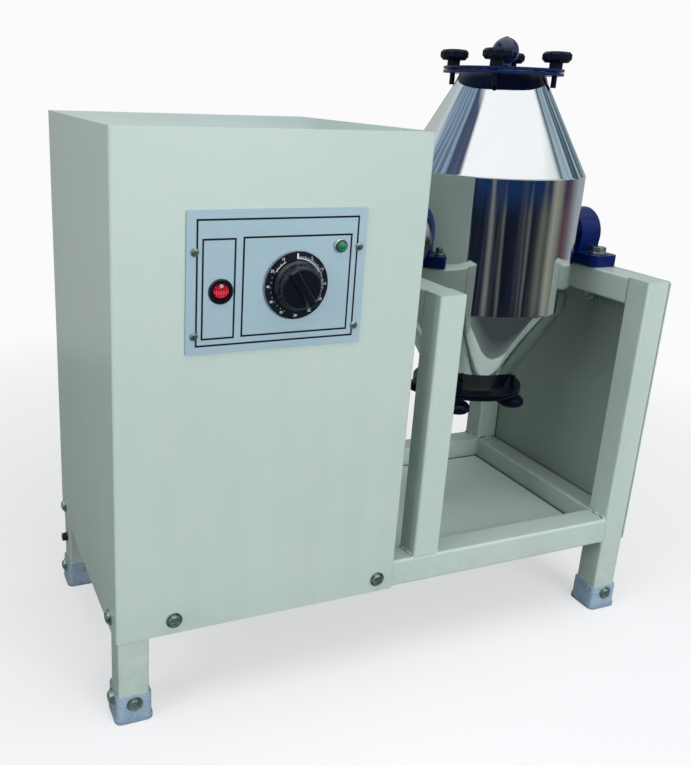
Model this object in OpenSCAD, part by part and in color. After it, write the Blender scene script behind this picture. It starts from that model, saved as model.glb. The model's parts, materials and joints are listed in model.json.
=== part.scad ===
// Laboratory double cone mixer: a welded frame of square tube, a sheet metal drive cabinet
// and a polished double cone vessel that turns end over end on two pillow blocks.
// X runs along the front, Y to the back and Z up. The origin is on the floor, under the middle.

/* [Frame] */
// Outside width of the square tube
tube = 31.75; // [30:0.25:34]
// Wall of the square tube
tube_wall = 2; // [1.5:0.1:3]
// Outside corner radius of the square tube
tube_r = 3; // [1.5:0.25:4]
// Length of the welded frame
frame_l = 643; // [636:1:700]
// Depth of the welded frame
frame_d = 296; // [280:1:340]
// Height of the base rails above the floor
rail_z = 95; // [70:1:140]
// Height of the bearing rails' top above the floor
deck_z = 425; // [410:1:450]
// Clear width of the well that the vessel turns in
well_w = 245; // [238:1:252]
// Thickness of the base plate
plate_t = 3; // [2:0.5:5]
// Thickness of the side panel
panel_t = 1.5; // [1:0.25:2]

/* [Foot caps] */
// Height of a foot cap
cap_h = 30; // [24:1:40]
// Wall of a foot cap
cap_wall = 2.5; // [2:0.25:3]
// Floor thickness of a foot cap
cap_floor = 3; // [2:0.5:5]
// How far the cap's bottom lip stands out
cap_lip = 1.4; // [0.5:0.1:2]
// Height of the cap's bottom lip
cap_lip_h = 5; // [3:0.5:8]
// Height of the cap's bolts above the floor
cap_bolt_z = 22; // [18:0.5:24]

/* [Cabinet] */
// Gap between the cabinet cover and the left bearing posts
post_gap = 26.5; // [18:0.5:40]
// Height of the cabinet cover
cover_h = 490; // [470:1:560]
// Sheet thickness of the cabinet cover
sheet = 1.5; // [1:0.25:2]
// Gap between the cover and the frame
cover_fit = 0.5; // [0.3:0.1:1]
// Outside bend radius of the cover's corners
bend_r = 3; // [2.2:0.2:6]
// Width of the slot that lets the cover lift off past the shaft
slot_w = 32; // [28:1:40]

/* [Control plate] */
// Width of the control plate
ctl_w = 176.5; // [174:0.5:184]
// Height of the control plate
ctl_h = 130; // [124:1:140]
// Thickness of the control plate
ctl_t = 2; // [1:0.25:3]
// Height of the control plate's centre above the base rails' underside
ctl_rise = 356.5; // [340:0.5:380]
// Rocker switch bezel diameter
rocker_d = 23.5; // [22.5:0.5:25]
// Rocker button diameter
button_d = 15; // [13:0.5:16]
// Tilt of the rocker button from one end of its travel to the other
rocker_swing = 16; // [10:1:18]
// Timer dial diameter
dial_d = 64; // [58:1:70]
// Timer knob diameter
grip_d = 47; // [40:1:50]
// Pilot lamp bezel diameter
lamp_d = 14; // [12:0.5:16]

/* [Vessel] */
// Outside radius of the vessel's cylinder
vessel_r = 103; // [96:0.5:105]
// Height of the vessel's cylinder
body_h = 158; // [140:1:170]
// Height of each cone
cone_h = 94; // [80:1:105]
// Outside radius of the charging neck
neck_r = 48; // [44:0.5:50]
// Height of the charging neck
neck_h = 14; // [12.5:0.5:20]
// Wall of the vessel
vessel_wall = 2; // [1.5:0.25:3]
// Radius of the lids and flanges
lid_r = 67; // [64:0.5:72]
// Thickness of a lid
lid_t = 3; // [2.5:0.25:5]
// Thickness of a neck flange
flange_t = 3; // [2.5:0.25:5]
// Thickness of a lid's gasket
gasket_t = 1.2; // [0.8:0.1:2]

/* [Knobs] */
// Diameter of a clamp knob
knob_d = 32; // [28:0.5:34]
// Height of a clamp knob's head
knob_h = 12; // [9:0.5:14]
// Diameter of the boss under a clamp knob
knob_boss_d = 14.5; // [12:0.5:16]
// Height of the boss under a clamp knob
knob_boss_h = 7; // [5:0.5:9]
// Radius of the circle that the clamp knobs stand on
knob_ring_r = 57; // [56:0.25:58]
// Thread diameter of a clamp knob
stud_d = 6; // [5:0.5:7]
// Length of a clamp knob's stud
stud_l = 20; // [16:0.5:22]
// Diameter of the lid's ball handle
ball_d = 32; // [28:0.5:36]

/* [Shaft and bearings] */
// Diameter of the vessel's shaft
shaft_d = 20; // [17:0.5:22]
// Height of the bearing centre above its foot
block_rise = 33.3; // [31:0.1:36]
// Length of the pillow block's foot
block_l = 127; // [122:1:134]
// Width of the pillow block's foot
block_w = 38; // [35:1:42]
// Distance between the pillow block's bolts
block_pitch = 95; // [92:1:98]
// Height of the pillow block's foot
block_foot_h = 14; // [12:0.5:16]

/* [Drive] */
// Pitch radius of the large pulley
big_pulley_r = 60; // [52:1:64]
// Pitch radius of the small pulley
small_pulley_r = 25; // [20:1:28]
// Width of the belt at its back
belt_w = 10; // [8:0.5:12]
// Outside radius of the motor
motor_r = 52; // [46:1:56]
// Length of the motor's shell
motor_l = 150; // [130:1:170]
// Distance between the gearbox's two shafts
gear_centre = 40; // [38:0.5:44]
// Height of the gearbox's output shaft above its foot
gear_rise = 54; // [50:1:60]

/* [Bolts] */
// Shank diameter of the frame bolts
bolt_d = 8; // [6:0.5:8.5]
// Washer diameter of the frame bolts
washer_d = 16.5; // [15:0.5:18]

/* [Hidden] */
$fn = 64;
right = 90;
turn = 360;
cut = 1;              // overrun of every cut
slip = 0.2;           // radial clearance of a bolt in its hole
washer_t = bolt_d / 5;
head_h = bolt_d / 2;
run = 0.05;           // radial clearance of a shaft in its bearing
corner_steps = 5;     // flats in a rounded corner
hex = 6;              // sides of a nut

// Frame
fx = frame_l / 2;
fy = frame_d / 2;
half = tube / 2;
base_top = rail_z + tube;
floor_z = rail_z + tube_r;
deck_bottom = deck_z - tube;
post_x = fx - half;
post_y = fy - half;
mid_x = fx - tube - well_w - half;
post_cap_t = 2;

// Cabinet
skin = sheet + cover_fit;
cover_x0 = -fx - skin;
cover_x1 = mid_x - half - post_gap;
cover_w = cover_x1 - cover_x0;
cover_x = (cover_x0 + cover_x1) / 2;
cover_d = frame_d + 2 * skin;
front_y = -cover_d / 2;
cover_bolt_inset = 58.6;
cover_bolt_right = 21;
side_bolt_y = post_y - half / 2;

// Control plate
ctl_left = 0.5;
ctl_x = cover_x - ctl_left;
ctl_z = rail_z + ctl_rise;
ctl_r = 2;
ctl_y = front_y - ctl_t;
ctl_screw_x = 80.8;
ctl_screw_up = 28.5;
ctl_screw_down = 47.7;
screw_d = 4;
screw_head_d = 8;
screw_head_h = 2.6;
screw_l = 8;
rocker_left = 56;
rocker_down = 7.5;
rocker_x = ctl_x - rocker_left;
rocker_z = ctl_z - rocker_down;
rocker_lip = 2;
rocker_body_d = 20;
rocker_body_l = 22;
rocker_well_l = 12;
button_gap = 0.5;
button_proud = 1.6;
button_pivot = 5;
button_back = 2.5;
pivot_pin_d = 2;
timer_right = 17;
timer_down = 5;
timer_x = ctl_x + timer_right;
timer_z = ctl_z - timer_down;
timer_box = 58;
timer_box_l = 45;
timer_bush_d = 10;
spindle_d = 6;
dial_t = 3;
grip_h = 15;
grip_gap = 0.5;
grip_skirt_h = 3;
grip_taper = 7;
grip_top_d = grip_d - grip_taper;
ridge_w = 9;
ridge_h = 3;
lamp_right = 61;
lamp_up = 30;
lamp_x = ctl_x + lamp_right;
lamp_z = ctl_z + lamp_up;
lamp_lip = 3;
lamp_body_d = 8;
lamp_body_l = 20;
lens_rim = 2.25;
lens_d = lamp_d - 2 * lens_rim;
lens_sit = 1.5;

// Vessel
shaft_z = deck_z + block_rise;
vessel_x = fx - tube - well_w / 2;
body_top = body_h / 2;
cone_top = body_top + cone_h;
neck_top = cone_top + neck_h;
lid_seat = neck_top + gasket_t;
lid_out = lid_seat + lid_t;
knob_angles = [for (i = [0:3]) right / 2 + i * right];
gasket_lap = 3;
gasket_r = neck_r + gasket_lap;
ball_lift = 2;
pad_r = 36;
pad_t = 4;
boss_r = 17;
boss_gap = 1.2;

// Bearings
block_x = [mid_x, fx - half];
dome_r = 31.7;
dome_w = 30;
pedestal_l = 61;
ring_r = 23.5;
ring_w = 17;
inner_r = 14.3;
inner_w = 26;
ball_seat_r = 19;
block_bolt_d = 10;
block_washer_d = 21;
block_washer_t = 2;
nut_d = 18;
nut_h = 8;
nipple_d = 6;
nipple_h = 8;

// Drive
belt_inset = 25;
belt_x = cover_x1 - belt_inset;
pulley_w = 18;
belt_t = 6;
belt_wall_drop = 1.5;
belt_gap = 0.3;
rim_h = 4;
riser_t = 8;
gear_w = 76;
gear_inset = 66;
gear_x = belt_x - gear_inset;
gear_foot = floor_z + plate_t + riser_t;
gear_z = gear_foot + gear_rise;
gear_h = 2 * gear_rise;
gear_back = 46;
gear_front = 72;
gear_wall = 6;
wheel_r = 29;
wheel_w = 24;
mesh_gap = 0.6;
worm_r = gear_centre - wheel_r - mesh_gap;
out_d = 18;
motor_flange_t = 8;
motor_z = gear_foot + gear_h;
motor_wall = 5;
rib_h = 3;
rotor_r = 27;
rotor_l = 90;
air_gap = 0.6;
motor_shaft_d = 14;
fan_room = 40;
fan_clearance = 8;
fan_r = motor_r - fan_clearance;
fan_t = 14;
hood_wall = 2;
blades = 6;
vents = 12;
motor_top = motor_z + motor_flange_t + motor_l;
motor_y = gear_centre;
rotor_z = motor_z + motor_flange_t + (motor_l - motor_flange_t - rotor_l) / 2;

// How far the machine reaches to the front and back, and the middle between them
front_reach = cover_d / 2 + ctl_t + dial_t + grip_gap + grip_h + ridge_h;
back_reach = fy + cap_wall + washer_t + head_h;
middle_y = (front_reach - back_reach) / 2;

// A rectangle with rounded corners, as points round its middle
function round_rect(w, d, r) = [
    for (q = [0:3], i = [0:corner_steps])
        let (a = q * right + i * right / corner_steps,
             sx = (q == 0 || q == 3) ? 1 : -1,
             sy = q < 2 ? 1 : -1)
        [sx * (w / 2 - r) + r * cos(a), sy * (d / 2 - r) + r * sin(a)]];

// A bar of rounded rectangular section, standing on z = 0
module bar(w, d, r, h) {
    linear_extrude(h) polygon(round_rect(w, d, r));
}

// A straight length of the square tube, standing on z = 0
module tube_run(l) {
    difference() {
        bar(tube, tube, tube_r, l);
        translate([0, 0, -cut])
            bar(tube - 2 * tube_wall, tube - 2 * tube_wall, tube_r - tube_wall / 2, l + 2 * cut);
    }
}

// A post from one height to another, closed by a welded cap
module post(x, y, low, high) {
    translate([x, y, low]) {
        tube_run(high - low);
        translate([0, 0, high - low - post_cap_t])
            bar(tube - tube_wall, tube - tube_wall, tube_r - tube_wall / 2, post_cap_t);
    }
}

// Turns a thing that points up so that it points out of the front, back, left or right
module facing(side) {
    rotate(side == "front" ? [right, 0, 0] : side == "back" ? [-right, 0, 0] :
           side == "left" ? [0, -right, 0] : [0, right, 0]) children();
}

// The holes in a foot, for its bolt to the front or back and its bolt to the side
module foot_holes(x, y) {
    translate([x, y, cap_bolt_z]) {
        facing(y < 0 ? "front" : "back") cylinder(d = bolt_d + 2 * slip, h = tube);
        facing(x < 0 ? "left" : "right") cylinder(d = bolt_d + 2 * slip, h = tube);
    }
}

// Moves the machine so that the origin is under the middle of everything it reaches to
module centred() {
    translate([0, middle_y, 0]) children();
}

module right_posts() {
    color([0.71, 0.79, 0.77]) centred()
    for (y = [-post_y, post_y]) difference() {
        post(post_x, y, cap_floor, deck_z);
        foot_holes(post_x, y);
    }
}

module mid_posts() {
    color([0.71, 0.79, 0.77]) centred()
    for (y = [-post_y, post_y]) post(mid_x, y, base_top, deck_z);
}

module left_legs() {
    color([0.71, 0.79, 0.77]) centred()
    for (y = [-post_y, post_y]) difference() {
        post(-post_x, y, cap_floor, base_top);
        foot_holes(-post_x, y);
        translate([-post_x, sign(y) * side_bolt_y, rail_z + half]) facing("left")
            cylinder(d = bolt_d + 2 * slip, h = tube);
    }
}

module long_base_rails() {
    color([0.71, 0.79, 0.77]) centred()
    for (y = [-post_y, post_y]) difference() {
        translate([-fx + tube, y, rail_z + half]) rotate([0, right, 0]) tube_run(frame_l - 2 * tube);
        for (x = [cover_x0 + cover_bolt_inset, cover_x1 - cover_bolt_right])
            translate([x, y, rail_z + half]) facing(y < 0 ? "front" : "back")
                cylinder(d = bolt_d + 2 * slip, h = tube);
    }
}

module short_base_rails() {
    color([0.71, 0.79, 0.77]) centred()
    for (x = [-post_x, post_x])
        translate([x, -fy + tube, rail_z + half]) rotate([-right, 0, 0]) tube_run(frame_d - 2 * tube);
}

module bearing_rails() {
    color([0.71, 0.79, 0.77]) centred()
    for (x = block_x) difference() {
        translate([x, -fy + tube, deck_z - half]) rotate([-right, 0, 0]) tube_run(frame_d - 2 * tube);
        for (y = [-block_pitch / 2, block_pitch / 2])
            translate([x, y, deck_bottom - cut]) cylinder(d = block_bolt_d + 2 * slip, h = tube + 2 * cut);
    }
}

module base_plate() {
    color([0.71, 0.79, 0.77]) centred()
    difference() {
        translate([-fx + tube, -fy + tube, floor_z])
            cube([frame_l - 2 * tube, frame_d - 2 * tube, plate_t]);
        riser_places() translate([0, 0, -plate_t - cut])
            cylinder(d = screw_d + 2 * slip, h = plate_t + 2 * cut);
    }
}

module side_panel() {
    color([0.71, 0.79, 0.77]) centred()
    translate([fx, 0, (rail_z + deck_z) / 2]) rotate([right, 0, right])
        bar(frame_d, deck_z - rail_z, tube_r, panel_t);
}

module foot_caps() {
    color([0.82, 0.86, 0.95]) centred()
    for (x = [-post_x, post_x], y = [-post_y, post_y]) difference() {
        translate([x, y, 0]) {
            bar(tube + 2 * cap_wall, tube + 2 * cap_wall, tube_r + cap_wall, cap_h);
            bar(tube + 2 * (cap_wall + cap_lip), tube + 2 * (cap_wall + cap_lip),
                tube_r + cap_wall + cap_lip, cap_lip_h);
        }
        translate([x, y, cap_floor]) bar(tube, tube, tube_r, cap_h);
        foot_holes(x, y);
    }
}

// A slotted round head bolt with its washer, its seat on z = 0 and its shank below
module slotted_bolt(shank) {
    head_d = washer_d - bolt_d / 2;
    slot = bolt_d / 6;
    translate([0, 0, washer_t]) difference() {
        rotate_extrude() polygon(concat([[0, 0], [head_d / 2, 0]],
            [for (i = [0:corner_steps]) let (a = i * right / corner_steps)
                [head_d / 2 * cos(a), head_h * (1 + 2 * sin(a)) / 3]]));
        translate([-head_d, -slot / 2, head_h - slot]) cube([2 * head_d, slot, head_h]);
    }
    translate([0, 0, -shank]) cylinder(d = bolt_d, h = shank + washer_t);
    ring(bolt_d, washer_d, washer_t);
}

module frame_bolts() {
    shank = bolt_d + cap_wall;
    color([0.62, 0.68, 0.68]) centred() {
        for (x = [-1, 1], y = [-1, 1]) {
            translate([x * post_x, y * (fy + cap_wall), cap_bolt_z])
                facing(y < 0 ? "front" : "back") slotted_bolt(shank / 2);
            translate([x * (fx + cap_wall), y * post_y, cap_bolt_z])
                facing(x < 0 ? "left" : "right") slotted_bolt(shank / 2);
        }
        for (x = [cover_x0 + cover_bolt_inset, cover_x1 - cover_bolt_right], y = [-1, 1])
            translate([x, y * cover_d / 2, rail_z + half])
                facing(y < 0 ? "front" : "back") slotted_bolt(shank);
        for (y = [-side_bolt_y, side_bolt_y])
            translate([cover_x0, y, rail_z + half]) facing("left") slotted_bolt(shank);
    }
}

module cabinet_cover() {
    color([0.71, 0.79, 0.77]) centred()
    difference() {
        translate([cover_x, 0, rail_z]) bar(cover_w, cover_d, bend_r, cover_h);
        translate([cover_x, 0, rail_z - cut])
            bar(cover_w - 2 * sheet, cover_d - 2 * sheet, bend_r - sheet, cover_h - sheet + cut);
        // The right wall ends above the base rails
        translate([cover_x1 - sheet - bend_r, -cover_d / 2 + sheet, rail_z - cut])
            cube([bend_r + sheet + cut, cover_d - 2 * sheet, tube + cover_fit + cut]);
        // The slot lets the cover lift off past the shaft
        translate([cover_x1 - sheet - cut, -slot_w / 2, rail_z])
            cube([sheet + 2 * cut, slot_w, shaft_z - rail_z]);
        translate([cover_x1 - sheet - cut, 0, shaft_z]) rotate([0, right, 0])
            cylinder(d = slot_w, h = sheet + 2 * cut);
        for (x = [cover_x0 + cover_bolt_inset, cover_x1 - cover_bolt_right], y = [-1, 1])
            translate([x, y * (cover_d / 2 - sheet - cut), rail_z + half])
                facing(y < 0 ? "front" : "back") cylinder(d = bolt_d + 2 * slip, h = sheet + 2 * cut);
        for (y = [-side_bolt_y, side_bolt_y])
            translate([cover_x0 + sheet + cut, y, rail_z + half]) facing("left")
                cylinder(d = bolt_d + 2 * slip, h = sheet + 2 * cut);
        translate([0, front_y + sheet + cut, 0]) control_holes(sheet + 2 * cut);
    }
}

// The holes for the switch, the timer, the lamp and the plate's screws
module control_holes(l) {
    translate([rocker_x, 0, rocker_z]) facing("front") cylinder(d = rocker_body_d + 2 * slip, h = l);
    translate([timer_x, 0, timer_z]) facing("front") cylinder(d = timer_bush_d + 2 * slip, h = l);
    translate([lamp_x, 0, lamp_z]) facing("front") cylinder(d = lamp_body_d + 2 * slip, h = l);
    plate_screw_places() facing("front") cylinder(d = screw_d + 2 * slip, h = l);
}

module plate_screw_places() {
    for (x = [-ctl_screw_x, ctl_screw_x], z = [-ctl_screw_down, ctl_screw_up])
        translate([ctl_x + x, 0, ctl_z + z]) children();
}

module cable_gland() {
    gland_d = 12;
    gland_nut_l = 4;
    gland_l = cap_wall + gland_nut_l;
    gland_z = (rail_z + cap_h) / 2;
    hole_d = gland_d / 2;
    color([0.05, 0.05, 0.06]) centred()
    translate([-fx, post_y, gland_z]) facing("left") difference() {
        union() {
            cylinder(d = gland_d, h = gland_nut_l, $fn = hex);
            cylinder(d = gland_d - gland_nut_l / 2, h = gland_l);
        }
        translate([0, 0, gland_nut_l / 2]) cylinder(d = hole_d, h = gland_l);
    }
}

module control_plate() {
    color([0.64, 0.75, 0.81]) centred()
    difference() {
        translate([ctl_x, front_y, ctl_z]) facing("front") bar(ctl_w, ctl_h, ctl_r, ctl_t);
        translate([0, front_y + cut, 0]) control_holes(ctl_t + 2 * cut);
    }
}

module plate_screws() {
    color([0.6, 0.62, 0.62]) centred()
    plate_screw_places() translate([0, ctl_y, 0]) facing("front") {
        rotate_extrude() polygon([[0, 0], [screw_head_d / 2, 0], [screw_head_d / 2, screw_head_h / 3],
            [screw_head_d / 3, screw_head_h * 5 / 6], [screw_head_d / 8, screw_head_h], [0, screw_head_h]]);
        translate([0, 0, -screw_l]) cylinder(d = screw_d, h = screw_l + screw_head_h / 3);
    }
}

module rocker_housing() {
    color([0.06, 0.07, 0.09]) centred()
    translate([rocker_x, ctl_y, rocker_z]) facing("front") difference() {
        union() {
            rotate_extrude() polygon([[0, 0], [rocker_d / 2, 0], [rocker_d / 2, rocker_lip / 2],
                [rocker_d / 2 - rocker_lip / 2, rocker_lip], [0, rocker_lip]]);
            translate([0, 0, -rocker_body_l]) cylinder(d = rocker_body_d, h = rocker_body_l);
        }
        translate([0, 0, rocker_lip - rocker_well_l])
            cylinder(d = button_d + 2 * button_gap, h = rocker_well_l + cut);
    }
    // Pivot pin across the well
    color([0.06, 0.07, 0.09]) centred()
    translate([rocker_x, ctl_y + button_pivot, rocker_z]) rotate([0, right, 0])
        cylinder(d = pivot_pin_d, h = button_d + 2 * button_gap, center = true);
}

// A round button whose crown is two flats; at rest it is off, pressed in at its top
module rocker_button() {
    reach = button_pivot + button_proud;
    edge = reach + button_d / 2 * tan(rocker_swing / 2);
    valley = [[-button_d, reach + button_d * tan(rocker_swing / 2)], [0, reach],
        [button_d, reach + button_d * tan(rocker_swing / 2)], [button_d, 2 * button_d],
        [-button_d, 2 * button_d]];
    color([0.75, 0.02, 0.08]) centred()
    translate([rocker_x, ctl_y + button_pivot, rocker_z]) facing("front")
        rotate([-rocker_swing / 2, 0, 0]) difference() {
            intersection() {
                translate([0, 0, -button_back])
                    cylinder(d = button_d - 2 * button_gap, h = edge + button_back);
                rotate([0, right, 0])
                    cylinder(r = button_d / 2 + button_gap / 4, h = button_d, center = true);
            }
            translate([-button_d, 0, 0]) rotate([right, 0, right])
                linear_extrude(2 * button_d) polygon(valley);
            rotate([0, right, 0])
                cylinder(d = pivot_pin_d + 2 * run, h = button_d + 2 * cut, center = true);
        }
}

module timer_body() {
    color([0.75, 0.73, 0.66]) centred()
    translate([timer_x, front_y + sheet, timer_z]) {
        translate([0, timer_box_l, 0]) facing("front") bar(timer_box, timer_box, ctl_r, timer_box_l);
        facing("front") difference() {
            translate([0, 0, -cut]) cylinder(d = timer_bush_d, h = sheet + ctl_t + cut);
            cylinder(d = spindle_d + 2 * run, h = sheet + ctl_t + cut);
        }
    }
}

module timer_dial() {
    color([0.05, 0.06, 0.08]) centred()
    translate([timer_x, ctl_y, timer_z]) facing("front") difference() {
        cylinder(d = dial_d, h = dial_t);
        translate([0, 0, -cut]) cylinder(d = timer_bush_d, h = dial_t + 2 * cut);
    }
}

module timer_knob() {
    color([0.04, 0.05, 0.07]) centred()
    translate([timer_x, ctl_y - dial_t, timer_z]) facing("front") {
        translate([0, 0, grip_gap]) rotate_extrude() polygon([[0, 0], [grip_d / 2, 0],
            [grip_d / 2, grip_skirt_h], [grip_top_d / 2, grip_skirt_h * 2],
            [grip_top_d / 2 - ridge_h / 3, grip_h], [0, grip_h]]);
        translate([-ridge_w / 2, -grip_top_d / 2 + ridge_h, grip_h])
            cube([ridge_w, grip_top_d - 2 * ridge_h, ridge_h]);
        translate([0, 0, -dial_t - ctl_t - sheet / 2])
            cylinder(d = spindle_d, h = dial_t + ctl_t + sheet / 2 + grip_h);
    }
}

module lamp_bezel() {
    color([0.85, 0.88, 0.88]) centred()
    translate([lamp_x, ctl_y, lamp_z]) facing("front") difference() {
        union() {
            rotate_extrude() polygon([[0, 0], [lamp_d / 2, 0], [lamp_d / 2, lamp_lip / 2],
                [lamp_d / 2 - lamp_lip / 3, lamp_lip], [0, lamp_lip]]);
            translate([0, 0, -lamp_body_l]) cylinder(d = lamp_body_d, h = lamp_body_l);
        }
        translate([0, 0, lamp_lip - lens_sit]) cylinder(d = lens_d, h = lens_sit + cut);
    }
}

module lamp_lens() {
    dome_h = lens_d / 2;
    color([0.03, 0.45, 0.2]) centred()
    translate([lamp_x, ctl_y - lamp_lip + lens_sit, lamp_z]) facing("front")
        rotate_extrude() polygon(concat([[0, 0], [lens_d / 2, 0]],
            [for (i = [0:2 * corner_steps]) let (a = i * right / corner_steps / 2)
                [lens_d / 2 * cos(a), lens_sit + dome_h * sin(a)]]));
}

// A thing that stands on the origin, at each pillow block's shaft
module at_blocks() {
    for (x = block_x) translate([x, 0, shaft_z]) rotate([0, right, 0]) children();
}

module bearing_housings() {
    foot_r = block_w / 4;
    color([0.03, 0.14, 0.5]) centred()
    difference() {
        for (x = block_x) {
            translate([x, 0, deck_z]) bar(block_w, block_l, foot_r, block_foot_h);
            translate([x - dome_w / 2, -pedestal_l / 2, deck_z + block_foot_h / 2])
                cube([dome_w, pedestal_l, block_rise - block_foot_h / 2]);
            translate([x - dome_w / 2, 0, shaft_z]) rotate([0, right, 0])
                cylinder(r = dome_r, h = dome_w);
        }
        at_blocks() cylinder(r = ring_r, h = block_w + 2 * cut, center = true);
        for (x = block_x, y = [-block_pitch / 2, block_pitch / 2])
            translate([x, y, deck_z - cut])
                cylinder(d = block_bolt_d + 2 * slip, h = block_foot_h + 2 * cut);
    }
}

module bearing_outer_rings() {
    color([0.6, 0.62, 0.64]) centred()
    at_blocks() difference() {
        cylinder(r = ring_r, h = ring_w, center = true);
        cylinder(r = ball_seat_r, h = ring_w + 2 * cut, center = true);
    }
}

module bearing_inner_rings() {
    color([0.6, 0.62, 0.64]) centred()
    at_blocks() difference() {
        union() {
            cylinder(r = inner_r, h = inner_w, center = true);
            cylinder(r = ball_seat_r - run, h = ring_w / 2, center = true);
        }
        cylinder(d = shaft_d, h = inner_w + 2 * cut, center = true);
    }
}

module grease_nipples() {
    tip = nipple_d / 3;
    color([0.7, 0.68, 0.55]) centred()
    for (x = block_x) translate([x, 0, shaft_z]) rotate([-right / 2, 0, 0]) translate([0, 0, dome_r])
        rotate_extrude() polygon([[0, 0],
            [nipple_d / 2, 0], [nipple_d / 2, nipple_h / 2], [tip / 2, nipple_h * 5 / 8],
            [tip, nipple_h * 7 / 8], [tip / 2, nipple_h], [0, nipple_h]]);
}

module bearing_bolts() {
    hex_share = 0.64;
    hex_h = block_bolt_d * hex_share;
    below = tube + block_washer_t + nut_h + block_bolt_d / 4;
    color([0.62, 0.66, 0.66]) centred()
    for (x = block_x, y = [-block_pitch / 2, block_pitch / 2])
        translate([x, y, deck_z + block_foot_h]) {
            ring(block_bolt_d, block_washer_d, block_washer_t);
            translate([0, 0, block_washer_t]) cylinder(d = nut_d, h = hex_h, $fn = hex);
            translate([0, 0, -block_foot_h - below])
                cylinder(d = block_bolt_d, h = block_foot_h + below + block_washer_t);
            translate([0, 0, -block_foot_h - tube - block_washer_t])
                ring(block_bolt_d, block_washer_d, block_washer_t);
            translate([0, 0, -block_foot_h - tube - block_washer_t - nut_h]) difference() {
                cylinder(d = nut_d, h = nut_h, $fn = hex);
                translate([0, 0, -cut]) cylinder(d = block_bolt_d, h = nut_h + 2 * cut);
            }
        }
}

// A flat ring standing on z = 0
module ring(inside_d, outside_d, h) {
    difference() {
        cylinder(d = outside_d, h = h);
        translate([0, 0, -cut]) cylinder(d = inside_d, h = h + 2 * cut);
    }
}

// The vessel's middle, with Z along its height
module at_vessel() {
    translate([vessel_x, 0, shaft_z]) children();
}

module vessel_cylinder() {
    color([0.82, 0.84, 0.86]) centred()
    at_vessel() translate([0, 0, -body_top]) ring(2 * (vessel_r - vessel_wall), 2 * vessel_r, body_h);
}

// One cone with its neck, above the vessel's middle
module cone() {
    rotate_extrude() polygon([[vessel_r - vessel_wall, body_top], [vessel_r, body_top],
        [neck_r, cone_top], [neck_r, neck_top],
        [neck_r - vessel_wall, neck_top], [neck_r - vessel_wall, cone_top]]);
}

module upper_cone() {
    color([0.84, 0.86, 0.88]) centred() at_vessel() cone();
}

module lower_cone() {
    color([0.84, 0.86, 0.88]) centred() at_vessel() mirror([0, 0, 1]) cone();
}

// Places a thing at each clamp knob of the end above the vessel's middle
module knob_places() {
    for (a = knob_angles) rotate([0, 0, a]) translate([knob_ring_r, 0, 0]) children();
}

module flange() {
    difference() {
        translate([0, 0, neck_top - flange_t]) ring(2 * neck_r, 2 * lid_r, flange_t);
        knob_places() translate([0, 0, cone_top]) cylinder(d = stud_d + 2 * run, h = cone_h);
    }
}

module neck_flanges() {
    color([0.04, 0.11, 0.25]) centred() at_vessel() {
        flange();
        mirror([0, 0, 1]) flange();
    }
}

module lid_gaskets() {
    color([0.85, 0.85, 0.82]) centred() at_vessel() for (s = [0, 1]) mirror([0, 0, s])
        translate([0, 0, neck_top])
            ring(2 * (neck_r - 2 * vessel_wall), 2 * gasket_r, gasket_t);
}

// A lid above the vessel's middle
module lid() {
    difference() {
        translate([0, 0, lid_seat]) cylinder(r = lid_r, h = lid_t);
        knob_places() translate([0, 0, cone_top]) cylinder(d = stud_d + 2 * run, h = cone_h);
    }
}

module top_lid() {
    color([0.04, 0.11, 0.25]) centred() at_vessel() difference() {
        lid();
        translate([0, 0, cone_top]) cylinder(d = stud_d + 2 * run, h = cone_h);
    }
}

module bottom_lid() {
    color([0.04, 0.11, 0.25]) centred() at_vessel() mirror([0, 0, 1]) lid();
}

module lid_handle() {
    stem_d = ball_d / 2;
    flat_share = 0.44;
    color([0.04, 0.09, 0.2]) centred() at_vessel() translate([0, 0, lid_out]) {
        translate([0, 0, ball_d / 2 + ball_lift]) intersection() {
            sphere(d = ball_d);
            translate([-ball_d, -ball_d, -ball_d * flat_share]) cube(2 * ball_d);
        }
        cylinder(d = stem_d, h = ball_d / 4);
        translate([0, 0, -lid_t]) cylinder(d = stud_d, h = lid_t + ball_d / 4);
    }
}

// A lobed clamp knob with its stud, standing on z = 0
module clamp_knob() {
    lobes = 8;
    top_d = knob_d * 5 / 6;
    base_d = knob_d * 4 / 5;
    scallop_d = knob_d * 2 / 9;
    rise_shares = [0.3, 0.72, 0.94];
    difference() {
        translate([0, 0, knob_boss_h]) rotate_extrude() polygon([[0, 0], [base_d / 2, 0],
            [knob_d / 2, knob_h * rise_shares[0]], [knob_d / 2, knob_h * rise_shares[1]],
            [top_d / 2, knob_h * rise_shares[2]], [top_d / 4, knob_h], [0, knob_h]]);
        for (i = [0:lobes - 1]) rotate([0, 0, (i + 1 / 2) * turn / lobes])
            translate([knob_d / 2 + scallop_d / 3, 0, knob_boss_h / 2])
                cylinder(d = scallop_d, h = knob_h + knob_boss_h);
    }
    cylinder(d = knob_boss_d, h = knob_boss_h);
    translate([0, 0, -stud_l]) cylinder(d = stud_d, h = stud_l + knob_boss_h);
}

// One clamp knob by its number; the bottom ones hang under the lower lid
module place_knob(end, number) {
    color([0.05, 0.06, 0.09]) centred() at_vessel() mirror([0, 0, end])
        rotate([0, 0, knob_angles[number - 1]]) translate([knob_ring_r, 0, lid_out]) clamp_knob();
}

module top_knob_1() { place_knob(0, 1); }
module top_knob_2() { place_knob(0, 2); }
module top_knob_3() { place_knob(0, 3); }
module top_knob_4() { place_knob(0, 4); }
module bottom_knob_1() { place_knob(1, 1); }
module bottom_knob_2() { place_knob(1, 2); }
module bottom_knob_3() { place_knob(1, 3); }
module bottom_knob_4() { place_knob(1, 4); }

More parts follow.
